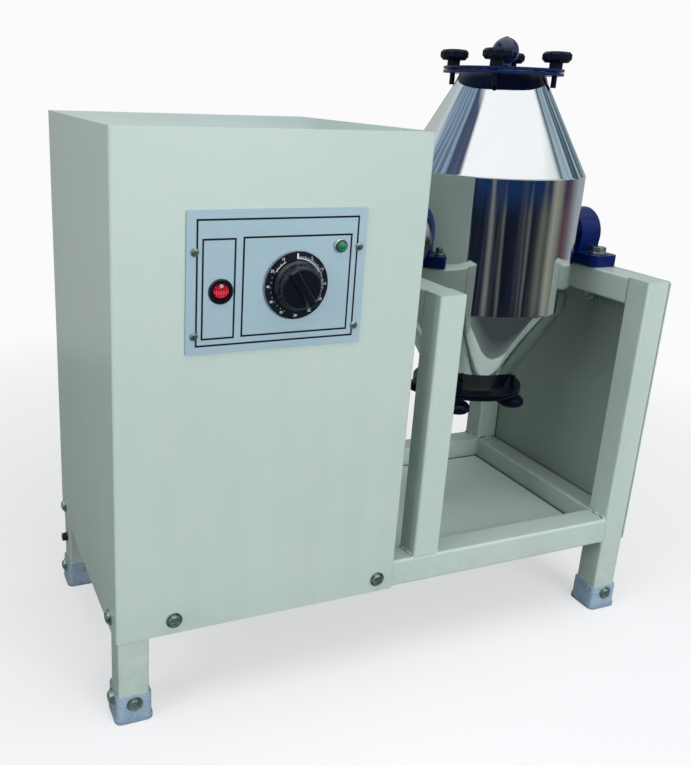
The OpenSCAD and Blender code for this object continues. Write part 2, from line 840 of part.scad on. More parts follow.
// A stub shaft with its pad and boss, from the vessel's middle out to the left or right
module trunnion(side, l) {
    boss_l = fx - half - block_w / 2 - boss_gap - vessel_x;
    at_vessel() facing(side) {
        cylinder(r = pad_r, h = vessel_r + pad_t);
        cylinder(r = boss_r, h = boss_l);
        cylinder(d = shaft_d, h = l);
    }
}

module trunnion_shafts() {
    left_l = vessel_x - belt_x + pulley_w;
    right_l = fx - half + inner_w / 2 + pad_t - vessel_x;
    color([0.68, 0.7, 0.72]) centred() difference() {
        union() {
            trunnion("left", left_l);
            trunnion("right", right_l);
        }
        at_vessel() cylinder(r = vessel_r, h = 4 * pad_r, center = true);
    }
}

// A pulley with a groove for the belt, its middle at the origin and its axis along X
module pulley(r, bore_d) {
    slope = belt_wall_drop / belt_t;
    back = belt_w / 2 + slope * (rim_h - belt_t / 2) + belt_gap;
    foot = belt_w / 2 - belt_wall_drop - slope * belt_gap + belt_gap;
    bed = r - belt_t / 2 - belt_gap;
    rotate([0, right, 0]) difference() {
        rotate_extrude() polygon([[0, -pulley_w / 2], [r + rim_h, -pulley_w / 2],
            [r + rim_h, -back], [bed, -foot], [bed, foot], [r + rim_h, back],
            [r + rim_h, pulley_w / 2], [0, pulley_w / 2]]);
        cylinder(d = bore_d, h = pulley_w + 2 * cut, center = true);
    }
}

module large_pulley() {
    color([0.35, 0.37, 0.4]) centred() translate([belt_x, 0, shaft_z]) pulley(big_pulley_r, shaft_d);
}

module small_pulley() {
    color([0.35, 0.37, 0.4]) centred() translate([belt_x, 0, gear_z]) pulley(small_pulley_r, out_d);
}

// The belt's section, inner face towards the axis
function belt_section(r) = [
    [r - belt_t / 2, -belt_w / 2 + belt_wall_drop], [r + belt_t / 2, -belt_w / 2],
    [r + belt_t / 2, belt_w / 2], [r - belt_t / 2, belt_w / 2 - belt_wall_drop]];

module drive_belt() {
    span = shaft_z - gear_z;
    lean = asin((big_pulley_r - small_pulley_r) / span);
    run_l = span * cos(lean);
    color([0.08, 0.08, 0.09]) centred()
    translate([belt_x, 0, 0]) rotate([0, -right, 0]) {
        translate([shaft_z, 0, 0]) rotate([0, 0, -right - lean])
            rotate_extrude(angle = 2 * (right + lean)) polygon(belt_section(big_pulley_r));
        translate([gear_z, 0, 0]) rotate([0, 0, right + lean])
            rotate_extrude(angle = 2 * (right - lean)) polygon(belt_section(small_pulley_r));
        for (s = [0, 1]) mirror([0, s, 0]) translate([gear_z, 0, 0])
            rotate([0, 0, right + lean]) rotate([right, 0, 0])
                linear_extrude(run_l) polygon(belt_section(small_pulley_r));
    }
}

module output_shaft() {
    from = gear_x - gear_w / 2 + gear_wall / 2;
    color([0.6, 0.62, 0.64]) centred() translate([from, 0, gear_z]) rotate([0, right, 0])
        cylinder(d = out_d, h = belt_x + pulley_w / 2 - from);
}

module worm_wheel() {
    color([0.72, 0.52, 0.22]) centred() translate([gear_x, 0, gear_z]) rotate([0, right, 0]) difference() {
        cylinder(r = wheel_r, h = wheel_w, center = true);
        cylinder(d = out_d, h = wheel_w + 2 * cut, center = true);
    }
}

module gearbox_housing() {
    color([0.5, 0.53, 0.55]) centred() difference() {
        union() {
            translate([gear_x - gear_w / 2, -gear_back, gear_foot])
                cube([gear_w, gear_back + gear_front, gear_h]);
            translate([gear_x, 0, gear_z]) rotate([0, right, 0])
                cylinder(d = 3 * out_d, h = gear_w + 2 * gear_wall, center = true);
        }
        translate([gear_x - gear_w / 2 + gear_wall, -gear_back + gear_wall, gear_foot + gear_wall])
            cube([gear_w - 2 * gear_wall, gear_back + gear_front - 2 * gear_wall, gear_h - 2 * gear_wall]);
        translate([gear_x, 0, gear_z]) rotate([0, right, 0])
            cylinder(d = out_d + 2 * run, h = gear_w + 4 * gear_wall, center = true);
        translate([gear_x, motor_y, gear_z]) cylinder(d = motor_shaft_d + 2 * run, h = gear_h);
        riser_places() translate([0, 0, -cut]) cylinder(d = screw_d + 2 * slip, h = gear_wall * 2 + riser_t);
    }
}

// The gearbox's four screws, on the base plate's top
module riser_places() {
    for (x = [-gear_w / 2 + gear_wall * 2, gear_w / 2 - gear_wall * 2],
         y = [-gear_back + gear_wall * 2, gear_front - gear_wall * 2])
        translate([gear_x + x, y, floor_z + plate_t]) children();
}

module gearbox_riser() {
    color([0.45, 0.48, 0.5]) centred() difference() {
        translate([gear_x - gear_w / 2 - riser_t, -gear_back - riser_t, floor_z + plate_t])
            cube([gear_w + 2 * riser_t, gear_back + gear_front + 2 * riser_t, riser_t]);
        riser_places() translate([0, 0, -cut]) cylinder(d = screw_d + 2 * slip, h = riser_t + 2 * cut);
    }
}

module gearbox_bolts() {
    hex_h = screw_d / 2;
    color([0.6, 0.62, 0.64]) centred() riser_places() translate([0, 0, -plate_t - hex_h]) {
        cylinder(d = 2 * screw_d, h = hex_h, $fn = hex);
        cylinder(d = screw_d, h = plate_t + hex_h + riser_t + gear_wall);
    }
}

module motor_shell() {
    ribs = 16;
    color([0.32, 0.4, 0.46]) centred() translate([gear_x, motor_y, motor_z]) difference() {
        union() {
            cylinder(r = motor_r, h = motor_flange_t);
            cylinder(r = motor_r - rib_h, h = motor_flange_t + motor_l);
            for (i = [0:ribs - 1]) rotate([0, 0, i * turn / ribs])
                translate([motor_r - 2 * rib_h, -rib_h / 2, motor_flange_t])
                    cube([2 * rib_h, rib_h, motor_l - motor_flange_t]);
        }
        translate([0, 0, motor_flange_t])
            cylinder(r = motor_r - rib_h - motor_wall, h = motor_l - motor_flange_t);
        translate([0, 0, -cut]) cylinder(d = motor_shaft_d + 2 * run, h = motor_l + 4 * motor_flange_t);
    }
}

module motor_stator() {
    outer = motor_r - rib_h - motor_wall;
    color([0.6, 0.4, 0.25]) centred() translate([gear_x, motor_y, rotor_z])
        ring(2 * (rotor_r + air_gap), 2 * outer, rotor_l);
}

module motor_rotor() {
    color([0.66, 0.66, 0.68]) centred() translate([gear_x, motor_y, 0]) {
        translate([0, 0, rotor_z]) cylinder(r = rotor_r, h = rotor_l);
        translate([0, 0, gear_z]) cylinder(d = motor_shaft_d, h = motor_top + fan_room * 2 / 3 - gear_z);
        translate([0, 0, gear_z - wheel_r]) cylinder(r = worm_r, h = 2 * wheel_r);
    }
}

module motor_fan() {
    low = motor_top + (fan_room - fan_t) / 3;
    hub = motor_shaft_d;
    blade_t = fan_t / 7;
    color([0.15, 0.16, 0.17]) centred() translate([gear_x, motor_y, low]) difference() {
        union() {
            cylinder(r = hub, h = fan_t);
            cylinder(r = fan_r, h = blade_t);
            for (i = [0:blades - 1]) rotate([0, 0, i * turn / blades])
                translate([hub / 2, -blade_t / 2, blade_t / 2])
                    cube([fan_r - hub / 2 - blade_t, blade_t, fan_t - blade_t]);
        }
        translate([0, 0, -cut]) cylinder(d = motor_shaft_d, h = fan_t + 2 * cut);
    }
}

module fan_cover() {
    vent_w = fan_r / 9;
    color([0.2, 0.24, 0.28]) centred() translate([gear_x, motor_y, motor_top]) difference() {
        cylinder(r = motor_r, h = fan_room);
        translate([0, 0, -cut]) cylinder(r = motor_r - hood_wall, h = fan_room - hood_wall + cut);
        for (i = [0:vents - 1]) rotate([0, 0, i * turn / vents])
            translate([fan_r / 3, -vent_w / 2, fan_room - 2 * hood_wall])
                cube([fan_r / 2, vent_w, 3 * hood_wall]);
    }
}

module run_capacitor() {
    can_d = 40;
    can_l = 80;
    clip_t = 2;
    clip_h = can_l / 5;
    pad_w = 12;
    pad_l = can_d / 2 + 2 * clip_t;
    low = motor_z + motor_flange_t + (motor_l - motor_flange_t - can_l) / 2;
    color([0.8, 0.8, 0.78]) centred() translate([gear_x - motor_r - pad_l, motor_y, low]) {
        cylinder(d = can_d, h = can_l);
        translate([0, 0, can_l / 2]) cylinder(d = can_d + 2 * clip_t, h = clip_h);
        translate([0, -pad_w / 2, can_l / 2]) cube([pad_l, pad_w, clip_h]);
        translate([0, 0, can_l]) cylinder(d = can_d / 2, h = can_d / 5);
    }
}

module terminal_block() {
    block = [20, 72, 18];
    ways = 6;
    pocket = 7;
    gap = 5;
    color([0.85, 0.83, 0.75]) centred()
    translate([-fx + tube + gap, fy - tube - gap - block[1], floor_z + plate_t]) difference() {
        cube(block);
        for (i = [0:ways - 1]) translate([block[0] / 2, (i + 1 / 2) * block[1] / ways, block[2] / 2])
            cylinder(d = pocket, h = block[2]);
    }
}

right_posts();
mid_posts();
left_legs();
long_base_rails();
short_base_rails();
bearing_rails();
base_plate();
side_panel();
foot_caps();
frame_bolts();
cabinet_cover();
cable_gland();
control_plate();
plate_screws();
rocker_housing();
rocker_button();
timer_body();
timer_dial();
timer_knob();
lamp_bezel();
lamp_lens();
bearing_housings();
bearing_outer_rings();
bearing_inner_rings();
grease_nipples();
bearing_bolts();
vessel_cylinder();
upper_cone();
lower_cone();
neck_flanges();
lid_gaskets();
trunnion_shafts();
top_lid();
bottom_lid();
lid_handle();
top_knob_1();
top_knob_2();
top_knob_3();
top_knob_4();
bottom_knob_1();
bottom_knob_2();
bottom_knob_3();
bottom_knob_4();
large_pulley();
small_pulley();
drive_belt();
output_shaft();
worm_wheel();
gearbox_housing();
gearbox_riser();
gearbox_bolts();
motor_shell();
motor_stator();
motor_rotor();
motor_fan();
fan_cover();
run_capacitor();
terminal_block();
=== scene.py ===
import json
import math
import random

import bmesh
import bpy
from mathutils import Matrix, Vector

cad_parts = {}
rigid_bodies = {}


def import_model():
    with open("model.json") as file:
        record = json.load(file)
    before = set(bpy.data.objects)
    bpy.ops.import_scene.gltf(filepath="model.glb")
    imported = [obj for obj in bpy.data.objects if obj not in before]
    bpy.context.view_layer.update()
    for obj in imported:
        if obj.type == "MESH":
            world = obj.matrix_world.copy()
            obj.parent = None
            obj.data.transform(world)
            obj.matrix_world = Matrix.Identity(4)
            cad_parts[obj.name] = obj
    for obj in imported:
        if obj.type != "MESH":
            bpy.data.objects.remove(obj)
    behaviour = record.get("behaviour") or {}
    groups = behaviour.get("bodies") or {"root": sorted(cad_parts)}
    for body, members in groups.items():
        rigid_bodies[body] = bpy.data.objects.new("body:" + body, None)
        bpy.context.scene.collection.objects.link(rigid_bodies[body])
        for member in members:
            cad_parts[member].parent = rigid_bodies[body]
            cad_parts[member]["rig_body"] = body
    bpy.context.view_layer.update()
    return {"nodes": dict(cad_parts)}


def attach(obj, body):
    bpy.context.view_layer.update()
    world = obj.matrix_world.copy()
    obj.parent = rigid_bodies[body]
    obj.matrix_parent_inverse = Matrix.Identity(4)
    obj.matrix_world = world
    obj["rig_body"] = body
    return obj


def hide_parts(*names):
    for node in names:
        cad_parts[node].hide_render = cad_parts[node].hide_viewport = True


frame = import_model()
nodes = frame["nodes"]


class Value:  # a socket, so that shader maths reads as sums
    def __init__(self, finish, socket):
        self.finish = finish
        self.socket = socket

    def math(self, operation, *others, clamp=False):
        return self.finish.node("Math", {"operation": operation, "use_clamp": clamp},
                                dict(enumerate((self,) + others)))

    def __add__(self, other):
        return self.math("ADD", other)

    def __sub__(self, other):
        return self.math("SUBTRACT", other)

    def __rsub__(self, other):
        return self.finish.node("Math", {"operation": "SUBTRACT"}, {0: other, 1: self})

    def __mul__(self, other):
        return self.math("MULTIPLY", other)

    def __truediv__(self, other):
        return self.math("DIVIDE", other)

    __radd__ = __add__
    __rmul__ = __mul__

    def over(self, edge, soft):  # 0 below the edge and 1 above it, across a soft step
        return self.math("MULTIPLY_ADD", 1 / soft, 0.5 - edge / soft, clamp=True)

    def under(self, edge, soft):  # the other way round
        return self.math("MULTIPLY_ADD", -1 / soft, 0.5 + edge / soft, clamp=True)

    def between(self, low, high, soft):
        return self.over(low, soft) * self.under(high, soft)


class Finish:  # one material, or the studio's world, and the nodes in it
    def __init__(self, name, world=None):
        self.owner = world or bpy.data.materials.new(name)
        self.owner.use_nodes = True
        self.tree = self.owner.node_tree
        self.tree.nodes.clear()
        self.output = self.tree.nodes.new("ShaderNodeOutput" + ("World" if world else "Material"))

    def node(self, kind, settings=None, inputs=None, out=0):
        made = self.tree.nodes.new("ShaderNode" + kind)
        for key, setting in (settings or {}).items():
            if key == "stops":
                ramp = made.color_ramp
                ramp.elements.remove(ramp.elements[1])
                for number, (place, colour) in enumerate(setting):
                    stop = ramp.elements[0] if number == 0 else ramp.elements.new(place)
                    stop.position = place
                    stop.color = tuple(colour) + (1,)
            else:
                setattr(made, key, setting)
        for key, given in (inputs or {}).items():
            if isinstance(given, Value):
                self.tree.links.new(given.socket, made.inputs[key])
            else:
                made.inputs[key].default_value = given
        return Value(self, made.outputs[out])

    def split(self, point):
        apart = self.node("SeparateXYZ", inputs={0: point}).socket.node
        return [Value(self, socket) for socket in apart.outputs]

    def place(self):  # the point on the piece, in metres
        return self.node("TexCoord", out="Object")

    def axes(self):
        return self.split(self.place())

    def noise(self, scale, detail=2, rough=0.5, stretch=None):
        point = self.place()
        if stretch:
            point = self.node("Mapping", inputs={"Vector": point, "Scale": stretch})
        return self.node("TexNoise", inputs={"Vector": point, "Scale": scale, "Detail": detail,
                                             "Roughness": rough})

    def cells(self, scale):
        return self.node("TexVoronoi", inputs={"Vector": self.place(), "Scale": scale})

    def mix(self, share, low, high):
        low, high = (c if isinstance(c, Value) else tuple(c) + (1,) for c in (low, high))
        return self.node("Mix", {"data_type": "RGBA"}, {0: share, 6: low, 7: high}, out=2)

    def bump(self, height, depth, normal=None):
        inputs = {"Height": height, "Distance": depth, "Strength": 1.0}
        if normal:
            inputs["Normal"] = normal
        return self.node("Bump", inputs=inputs)

    def surface(self, **sockets):  # Base_Color stands for the socket named Base Color
        inputs = {}
        for key, given in sockets.items():
            if not isinstance(given, (Value, float, int)):
                given = tuple(given) + (1,)
            inputs[key.replace("_", " ")] = given
        return self.end(self.node("BsdfPrincipled", inputs=inputs))

    def end(self, shader):
        self.tree.links.new(shader.socket, self.output.inputs["Surface"])
        return self.owner


def seen(red, green, blue):  # a colour as the screen shows it, 0 to 255, as the shader's own value
    return tuple(c / 255 / 12.92 if c <= 10 else ((c / 255 + 0.055) / 1.055) ** 2.4
                 for c in (red, green, blue))


# middles of the controls, as (x, z), and the plate's front
controls = {"rocker": (-0.225, 0.444), "timer": (-0.152, 0.4465), "lamp": (-0.108, 0.4815), "front": -0.1433}

# the enamel's colours; the dark green-grey one is a painted shade on the side panel's inner face, and light is
# painted light on the base sheet
paint = {"colour": seen(175, 194, 183), "pale": seen(183, 200, 190), "warm": seen(186, 197, 186),
         "dust": seen(140, 156, 138), "light": seen(222, 240, 230), "rust": seen(52, 50, 40),
         "dull": seen(52, 66, 50), "dirt": seen(24, 28, 22), "rough": 0.29, "peelScale": 520,
         "peelDepth": 0.00003, "specks": 0.3, "footGrime": 0.4, "streaks": 0.12, "seamShare": 0.93,
         "seamEdge": 0.0009}
# the side panel's face toward the vessel, where a painted shade darkens the enamel, more towards the top
panel = {"face": 0.3222, "faceEdge": 0.0004, "reach": 0.13, "top": 0.41, "fade": 0.004, "paintedShadeShare": 0.4,
         "darker": 0.42}


def paintedSteel(name, beads=False, seams=(), inner=False, paintedLight=0.0):
    f = Finish(name)
    broad = f.noise(5, 2)
    patches = f.noise(21, 3, 0.6)
    speck = f.noise(900, 1).over(0.72, 0.03)
    x, y, z = f.axes()
    colour = f.mix(broad.over(0.5, 0.5), paint["colour"], paint["pale"])
    colour = f.mix(patches.over(0.56, 0.3) * 0.6, colour, paint["warm"])
    streak = f.noise(30, 3, 0.6, (1, 1, 0.12)).over(0.55, 0.25) * z.under(0.32, 0.5)
    grime = f.noise(70, 4, 0.7).over(0.5, 0.3) * z.under(0.08, 0.12)
    soil = grime * paint["footGrime"] + streak * paint["streaks"] + speck * paint["specks"]
    colour = f.mix(soil, colour, paint["dust"])
    if paintedLight:  # painted light: the level sheet is brightened, as light from above falls on it
        colour = f.mix(paintedLight, colour, paint["light"])
    peel = f.noise(paint["peelScale"], 1) * 0.6 + f.noise(130, 2) * 0.4
    rough = broad * 0.08 + speck * 0.1 + paint["rough"]
    if beads:  # slag and rust show in the weld's pores
        pores = f.noise(330, 3, 0.6).over(0.55, 0.08)
        colour = f.mix(pores * 0.9, colour, paint["rust"])
        rough = rough + pores * 0.3
        peel = peel + f.noise(260, 2) * 1.5
    if inner:  # painted shade: the panel's face toward the vessel is darkened, more towards the top
        facing = (x.under(panel["face"], panel["faceEdge"]) * z.under(panel["top"], panel["fade"])
                  * y.between(-panel["reach"], panel["reach"], panel["fade"]))
        colour = f.mix(facing * (z.over(0.36, 0.2) * panel["darker"] + panel["paintedShadeShare"]), colour, paint["dull"])
    edge = paint["seamEdge"]
    for low, high in seams:  # dirt in the joint lines, as boxes in metres
        line = (x.between(low[0], high[0], edge) * y.between(low[1], high[1], edge)
                * z.between(low[2], high[2], edge))
        colour = f.mix(line * paint["seamShare"], colour, paint["dirt"])
    return f.surface(Base_Color=colour, Roughness=rough, Normal=f.bump(peel, paint["peelDepth"]),
                     Coat_Weight=0.2, Coat_Roughness=0.2, IOR=1.5)


mirror = {"colour": (0.80, 0.82, 0.83), "clouded": 0.93, "rough": 0.015, "hairs": 0.02, "haze": 0.02,
          "scratches": 0.12, "hairDepth": 0.00001, "waveDepth": 0.0011}


def mirrorSteel(name):
    f = Finish(name)
    haze = f.noise(26, 4, 0.6)
    hair = f.noise(30, 3, 0.7, (1, 1, 22)) * 0.5 + f.noise(160, 2, 0.5, (1, 1, 9)) * 0.5
    scratch = f.noise(55, 2, 0.5, (1, 14, 1)).over(0.74, 0.02)
    tone = f.mix(haze, [c * mirror["clouded"] for c in mirror["colour"]], mirror["colour"])
    wave = f.noise(9, 1) + f.noise(34, 1, 0.5, (1, 1, 0.35)) * 0.16
    rough = hair * mirror["hairs"] + haze * mirror["haze"] + scratch * mirror["scratches"] + mirror["rough"]
    return f.surface(Base_Color=tone, Metallic=1.0, Roughness=rough,
                     Normal=f.bump(hair, mirror["hairDepth"], f.bump(wave, mirror["waveDepth"])))


def gloss(name, colour, second, rough, grainScale=300, grainDepth=0.00002, coat=0.3, worn=None, shine=0.5,
          shadedBelow=None):
    f = Finish(name)
    cloud = f.noise(40, 3, 0.6)
    tone = f.mix(cloud.over(0.5, 0.5), colour, second)
    if shadedBelow:  # painted shade: darker below the vessel's middle, where the lower flange and lid face down
        tone = f.mix(f.axes()[2].under(0.45, 0.1), tone, shadedBelow)
    scuff = f.noise(85, 4, 0.7).over(0.66, 0.06)
    if worn:
        tone = f.mix(scuff * 0.5, tone, worn)
    return f.surface(Base_Color=tone, Roughness=cloud * 0.1 + scuff * 0.12 + (rough - 0.05),
                     Normal=f.bump(f.noise(grainScale, 2), grainDepth), Coat_Weight=coat, Coat_Roughness=0.1,
                     Specular_IOR_Level=shine)


def turnedMetal(name, colour, rough=0.28, axis="x", lines=1500):
    f = Finish(name)
    groove = (f.axes()["xyz".index(axis)] * lines).math("SINE")
    smudge = f.noise(90, 3, 0.6)
    tone = f.mix(smudge.over(0.5, 0.6), [c * 0.8 for c in colour], colour)
    return f.surface(Base_Color=tone, Metallic=1.0, Roughness=smudge * 0.16 + (rough - 0.08),
                     Normal=f.bump(groove * 0.4 + f.noise(700, 1) * 0.6, 0.00001))


def castMetal(name, colour, rough, bare=None, coat=0.4, shine=0.5):
    f = Finish(name)
    skin = f.noise(260, 3, 0.6)
    tone = f.mix(skin, [c * 0.8 for c in colour], colour)
    if bare:
        chips = f.noise(150, 4, 0.7).over(0.7, 0.04)
        tone = f.mix(chips * 0.7, tone, bare)
    return f.surface(Base_Color=tone, Roughness=skin * 0.2 + (rough - 0.1), Coat_Weight=coat,
                     Coat_Roughness=0.12, Specular_IOR_Level=shine,
                     Normal=f.bump(skin + f.cells(420) * 0.4, 0.00012))


zinc = {"dull": seen(104, 128, 114), "bright": seen(200, 220, 212), "stain": seen(40, 50, 44), "rough": 0.16}


def zincPlate(name):
    f = Finish(name)
    bloom = f.noise(120, 3, 0.6)
    stain = f.noise(420, 2).over(0.62, 0.08)
    tone = f.mix(bloom.over(0.5, 0.6), zinc["dull"], zinc["bright"])
    tone = f.mix(stain * 0.7, tone, zinc["stain"])
    return f.surface(Base_Color=tone, Metallic=0.9, Roughness=bloom * 0.2 + stain * 0.2 + zinc["rough"],
                     Normal=f.bump(f.noise(500, 2), 0.00002))


milk = {"colour": seen(150, 176, 198), "pale": seen(176, 200, 216), "soil": seen(104, 124, 132),
        "soiledTo": 0.004, "rough": 0.22, "clear": 0.25}


def milkPlastic(name):
    f = Finish(name)
    cloud = f.noise(55, 3, 0.6)
    z = f.axes()[2]
    tone = f.mix(cloud.over(0.5, 0.5), milk["colour"], milk["pale"])
    soil = z.under(milk["soiledTo"], 0.006) * 0.5 + f.noise(160, 4, 0.7).over(0.6, 0.1) * 0.25
    tone = f.mix(soil, tone, milk["soil"])
    return f.surface(Base_Color=tone, Roughness=cloud * 0.12 + milk["rough"], IOR=1.45,
                     Transmission_Weight=milk["clear"], Normal=f.bump(f.noise(140, 2), 0.00006),
                     Coat_Weight=0.3, Coat_Roughness=0.1)


# the printed boxes are (left, right, bottom, top) at the middle of their lines
plate = {"colour": seen(148, 175, 183), "pale": seen(163, 189, 197), "light": seen(174, 196, 206),
         "ink": seen(8, 12, 14), "rough": 0.27, "line": 0.0018, "lineEdge": 0.0003,
         "boxes": ((-0.2475, -0.0903, 0.3944, 0.5080), (-0.2421, -0.2119, 0.4006, 0.4908),
                   (-0.2039, -0.0968, 0.4012, 0.4916))}


def printedPlate(name):  # anodised sheet with a printed frame and two printed boxes
    f = Finish(name)
    x, y, z = f.axes()
    brushed = f.noise(60, 4, 0.7, (0.15, 1, 14))
    tone = f.mix(brushed, plate["colour"], plate["pale"])
    # painted light: the plate is lighter towards its right end
    tone = f.mix(x.over(-0.1, 0.12) * 0.35, tone, plate["light"])
    half, edge = plate["line"] / 2, plate["lineEdge"]
    ink = 0
    for left, right, bottom, top in plate["boxes"]:
        outer = x.between(left - half, right + half, edge) * z.between(bottom - half, top + half, edge)
        inside = x.between(left + half, right - half, edge) * z.between(bottom + half, top - half, edge)
        ink = outer - inside + ink
    ink = (ink * y.under(controls["front"] + 0.0001, 0.0001)).math("MINIMUM", 1.0)
    tone = f.mix(ink, tone, plate["ink"])
    return f.surface(Base_Color=tone, Metallic=0.12, Roughness=brushed * 0.1 + ink * 0.15 + plate["rough"],
                     Normal=f.bump(brushed + ink * 0.6, 0.000008), Coat_Weight=0.3, Coat_Roughness=0.15)


# upper is the paddle's own red; lower is a painted highlight, groove a painted shade and glow a painted glow
paddleRed = {"upper": seen(190, 14, 44), "lower": seen(226, 30, 60), "groove": seen(84, 2, 20),
             "cloud": seen(120, 6, 24), "pitch": 0.0023, "rough": 0.14, "glow": 0.12}


def redPaddle(name):  # ribbed red plastic, its lower half lighter as a painted highlight, its grooves darker as painted shade, with a faint painted glow
    f = Finish(name)
    x, y, z = f.axes()
    middle, height = controls["rocker"]
    # painted highlight: the lower half, which faces the light, is lighter
    tone = f.mix(z.under(height, 0.012), paddleRed["upper"], paddleRed["lower"])
    # painted shade in the grooves between the ribs
    grooveShade = ((x - middle) * (math.tau / paddleRed["pitch"])).math("COSINE").under(-0.35, 0.5)
    tone = f.mix(grooveShade * 0.85, tone, paddleRed["groove"])
    tone = f.mix(f.noise(260, 2).over(0.6, 0.3) * 0.25, tone, paddleRed["cloud"])
    # the emission is a painted glow; the paddle is no lamp
    return f.surface(Base_Color=tone, Roughness=f.noise(300, 2) * 0.1 + paddleRed["rough"], Coat_Weight=0.6,
                     Coat_Roughness=0.06, Emission_Color=tone, Emission_Strength=paddleRed["glow"],
                     Normal=f.bump(f.noise(500, 1), 0.00001))


def greenLens(name):
    f = Finish(name)
    cloud = f.noise(420, 2)
    tone = f.mix(cloud, seen(6, 84, 48), seen(20, 132, 84))
    return f.surface(Base_Color=tone, Roughness=cloud * 0.08 + 0.08, Transmission_Weight=0.2, Coat_Weight=0.8,
                     Coat_Roughness=0.04, Emission_Color=tone, Emission_Strength=0.1,
                     Normal=f.bump(f.cells(900), 0.00003))


def darkDial(name):  # black card with a fine turned sheen
    f = Finish(name)
    x, y, z = f.axes()
    middle, height = controls["timer"]
    away = ((x - middle) * (x - middle) + (z - height) * (z - height)).math("SQRT")
    ring = (away * 9000).math("SINE") * 0.5 + 0.5
    cloud = f.noise(120, 3, 0.6)
    tone = f.mix(cloud, seen(10, 13, 20), seen(24, 30, 40))
    return f.surface(Base_Color=tone, Roughness=cloud * 0.12 + 0.24, Coat_Weight=0.5, Coat_Roughness=0.1,
                     Normal=f.bump(ring, 0.000006))


# where sheets meet tubes, as boxes from low corner to high
baseSeams = (((-0.4, 0.1214, 0), (0.4, 0.2, 0.2)), ((-0.4, -0.2, 0), (0.4, -0.1050, 0.2)),
             ((0.2862, -0.2, 0), (0.4, 0.2, 0.2)), ((-0.4, -0.2, 0), (-0.2871, 0.2, 0.2)))
panelSeams = (((0.3, 0.1236, 0), (0.3216, 0.1256, 0.4)), ((0.3, -0.1085, 0), (0.3216, -0.1065, 0.4)),
              ((0.3, -0.2, 0.1262), (0.3216, 0.2, 0.1278)))
finishes = {
    "paint": paintedSteel("paleEnamel"),
    "weld": paintedSteel("enamelOverWeld", beads=True),
    # the base sheet gets painted light, the side panel painted shade
    "basePaint": paintedSteel("baseEnamel", seams=baseSeams, paintedLight=0.6),
    "panelPaint": paintedSteel("panelEnamel", seams=panelSeams, inner=True),
    "mirror": mirrorSteel("polishedStainless"),
    # below the vessel's middle the navy is darkened as a painted shade
    "navy": gloss("navyEnamel", seen(2, 22, 64), seen(5, 30, 78), 0.3, coat=0.1, worn=seen(20, 42, 84),
                  shine=0.2, shadedBelow=seen(4, 13, 26)),
    "knob": gloss("knobPhenolic", seen(5, 9, 20), seen(7, 16, 34), 0.38, 500, 0.00003, coat=0.04,
                  worn=seen(22, 36, 62), shine=0.15),
    "ball": gloss("ballPhenolic", seen(2, 16, 46), seen(5, 24, 62), 0.12, 60, 0.00001, coat=0.6, shine=0.4),
    "blue": castMetal("bearingEnamel", seen(1, 24, 82), 0.3, bare=seen(20, 50, 110), coat=0.12, shine=0.2),
    "zinc": zincPlate("zincPlate"),
    "milk": milkPlastic("milkyCap"),
    "plate": printedPlate("printedPlate"),
    "red": redPaddle("redPaddle"),
    "green": greenLens("greenLens"),
    "dial": darkDial("dialCard"),
    "mark": gloss("dialPrint", seen(206, 216, 220), seen(226, 234, 236), 0.45, coat=0.1),
    "steel": turnedMetal("turnedSteel", seen(186, 190, 194)),
    "brass": turnedMetal("turnedBrass", seen(206, 186, 84), 0.3),
    "black": gloss("blackMoulding", seen(7, 10, 18), seen(12, 17, 28), 0.26, 420, 0.00002, coat=0.5),
    "cream": gloss("creamMoulding", seen(190, 184, 166), seen(204, 198, 180), 0.45, 300, 0.00003),
    "chrome": turnedMetal("brightPlate", seen(226, 234, 232), 0.14),
    "silicone": gloss("whiteSilicone", seen(206, 208, 202), seen(218, 220, 214), 0.6, 200, 0.00004, coat=0.0),
    "iron": castMetal("turnedIron", seen(110, 114, 118), 0.5),
    "rubber": gloss("beltRubber", seen(24, 24, 26), seen(36, 36, 38), 0.72, 900, 0.00008, coat=0.0),
    "grey": castMetal("gearboxEnamel", seen(112, 124, 130), 0.42, bare=seen(60, 62, 60)),
    "motor": castMetal("motorEnamel", seen(64, 86, 102), 0.42, bare=seen(40, 44, 46)),
    "copper": turnedMetal("windings", seen(176, 112, 70), 0.5, "z", 4000),
    "white": gloss("whiteCan", seen(200, 202, 198), seen(212, 214, 210), 0.35),
}
print("finishes made")

turned = {"z": Matrix.Identity(4), "-z": Matrix.Rotation(math.pi, 4, "X"),
          "-y": Matrix.Rotation(math.pi / 2, 4, "X")}


def softEdges(bm, width, angle=28, segments=2):
    edges = [e for e in bm.edges if len(e.link_faces) == 2 and e.calc_face_angle(0) > math.radians(angle)]
    bmesh.ops.bevel(bm, geom=edges, offset=width, offset_type="OFFSET", segments=segments, profile=0.5,
                    affect="EDGES", clamp_overlap=True, material=-1)


def placed(name, bm, material):  # a mesh object, smooth all over
    mesh = bpy.data.meshes.new(name)
    bm.to_mesh(mesh)
    bm.free()
    mesh.polygons.foreach_set("use_smooth", [True] * len(mesh.polygons))
    mesh.materials.append(material)
    thing = bpy.data.objects.new(name, mesh)
    bpy.context.scene.collection.objects.link(thing)
    return thing


def newPiece(name, bm, finish, body, stands=(), smooth=32, weigh=True):
    piece = placed(name, bm, finishes[finish])
    piece.data.set_sharp_from_angle(angle=math.radians(smooth))
    if weigh:
        weights = piece.modifiers.new("evenNormals", "WEIGHTED_NORMAL")
        weights.keep_sharp = True
        weights.weight = 80
    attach(piece, body)
    if stands:
        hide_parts(*stands)


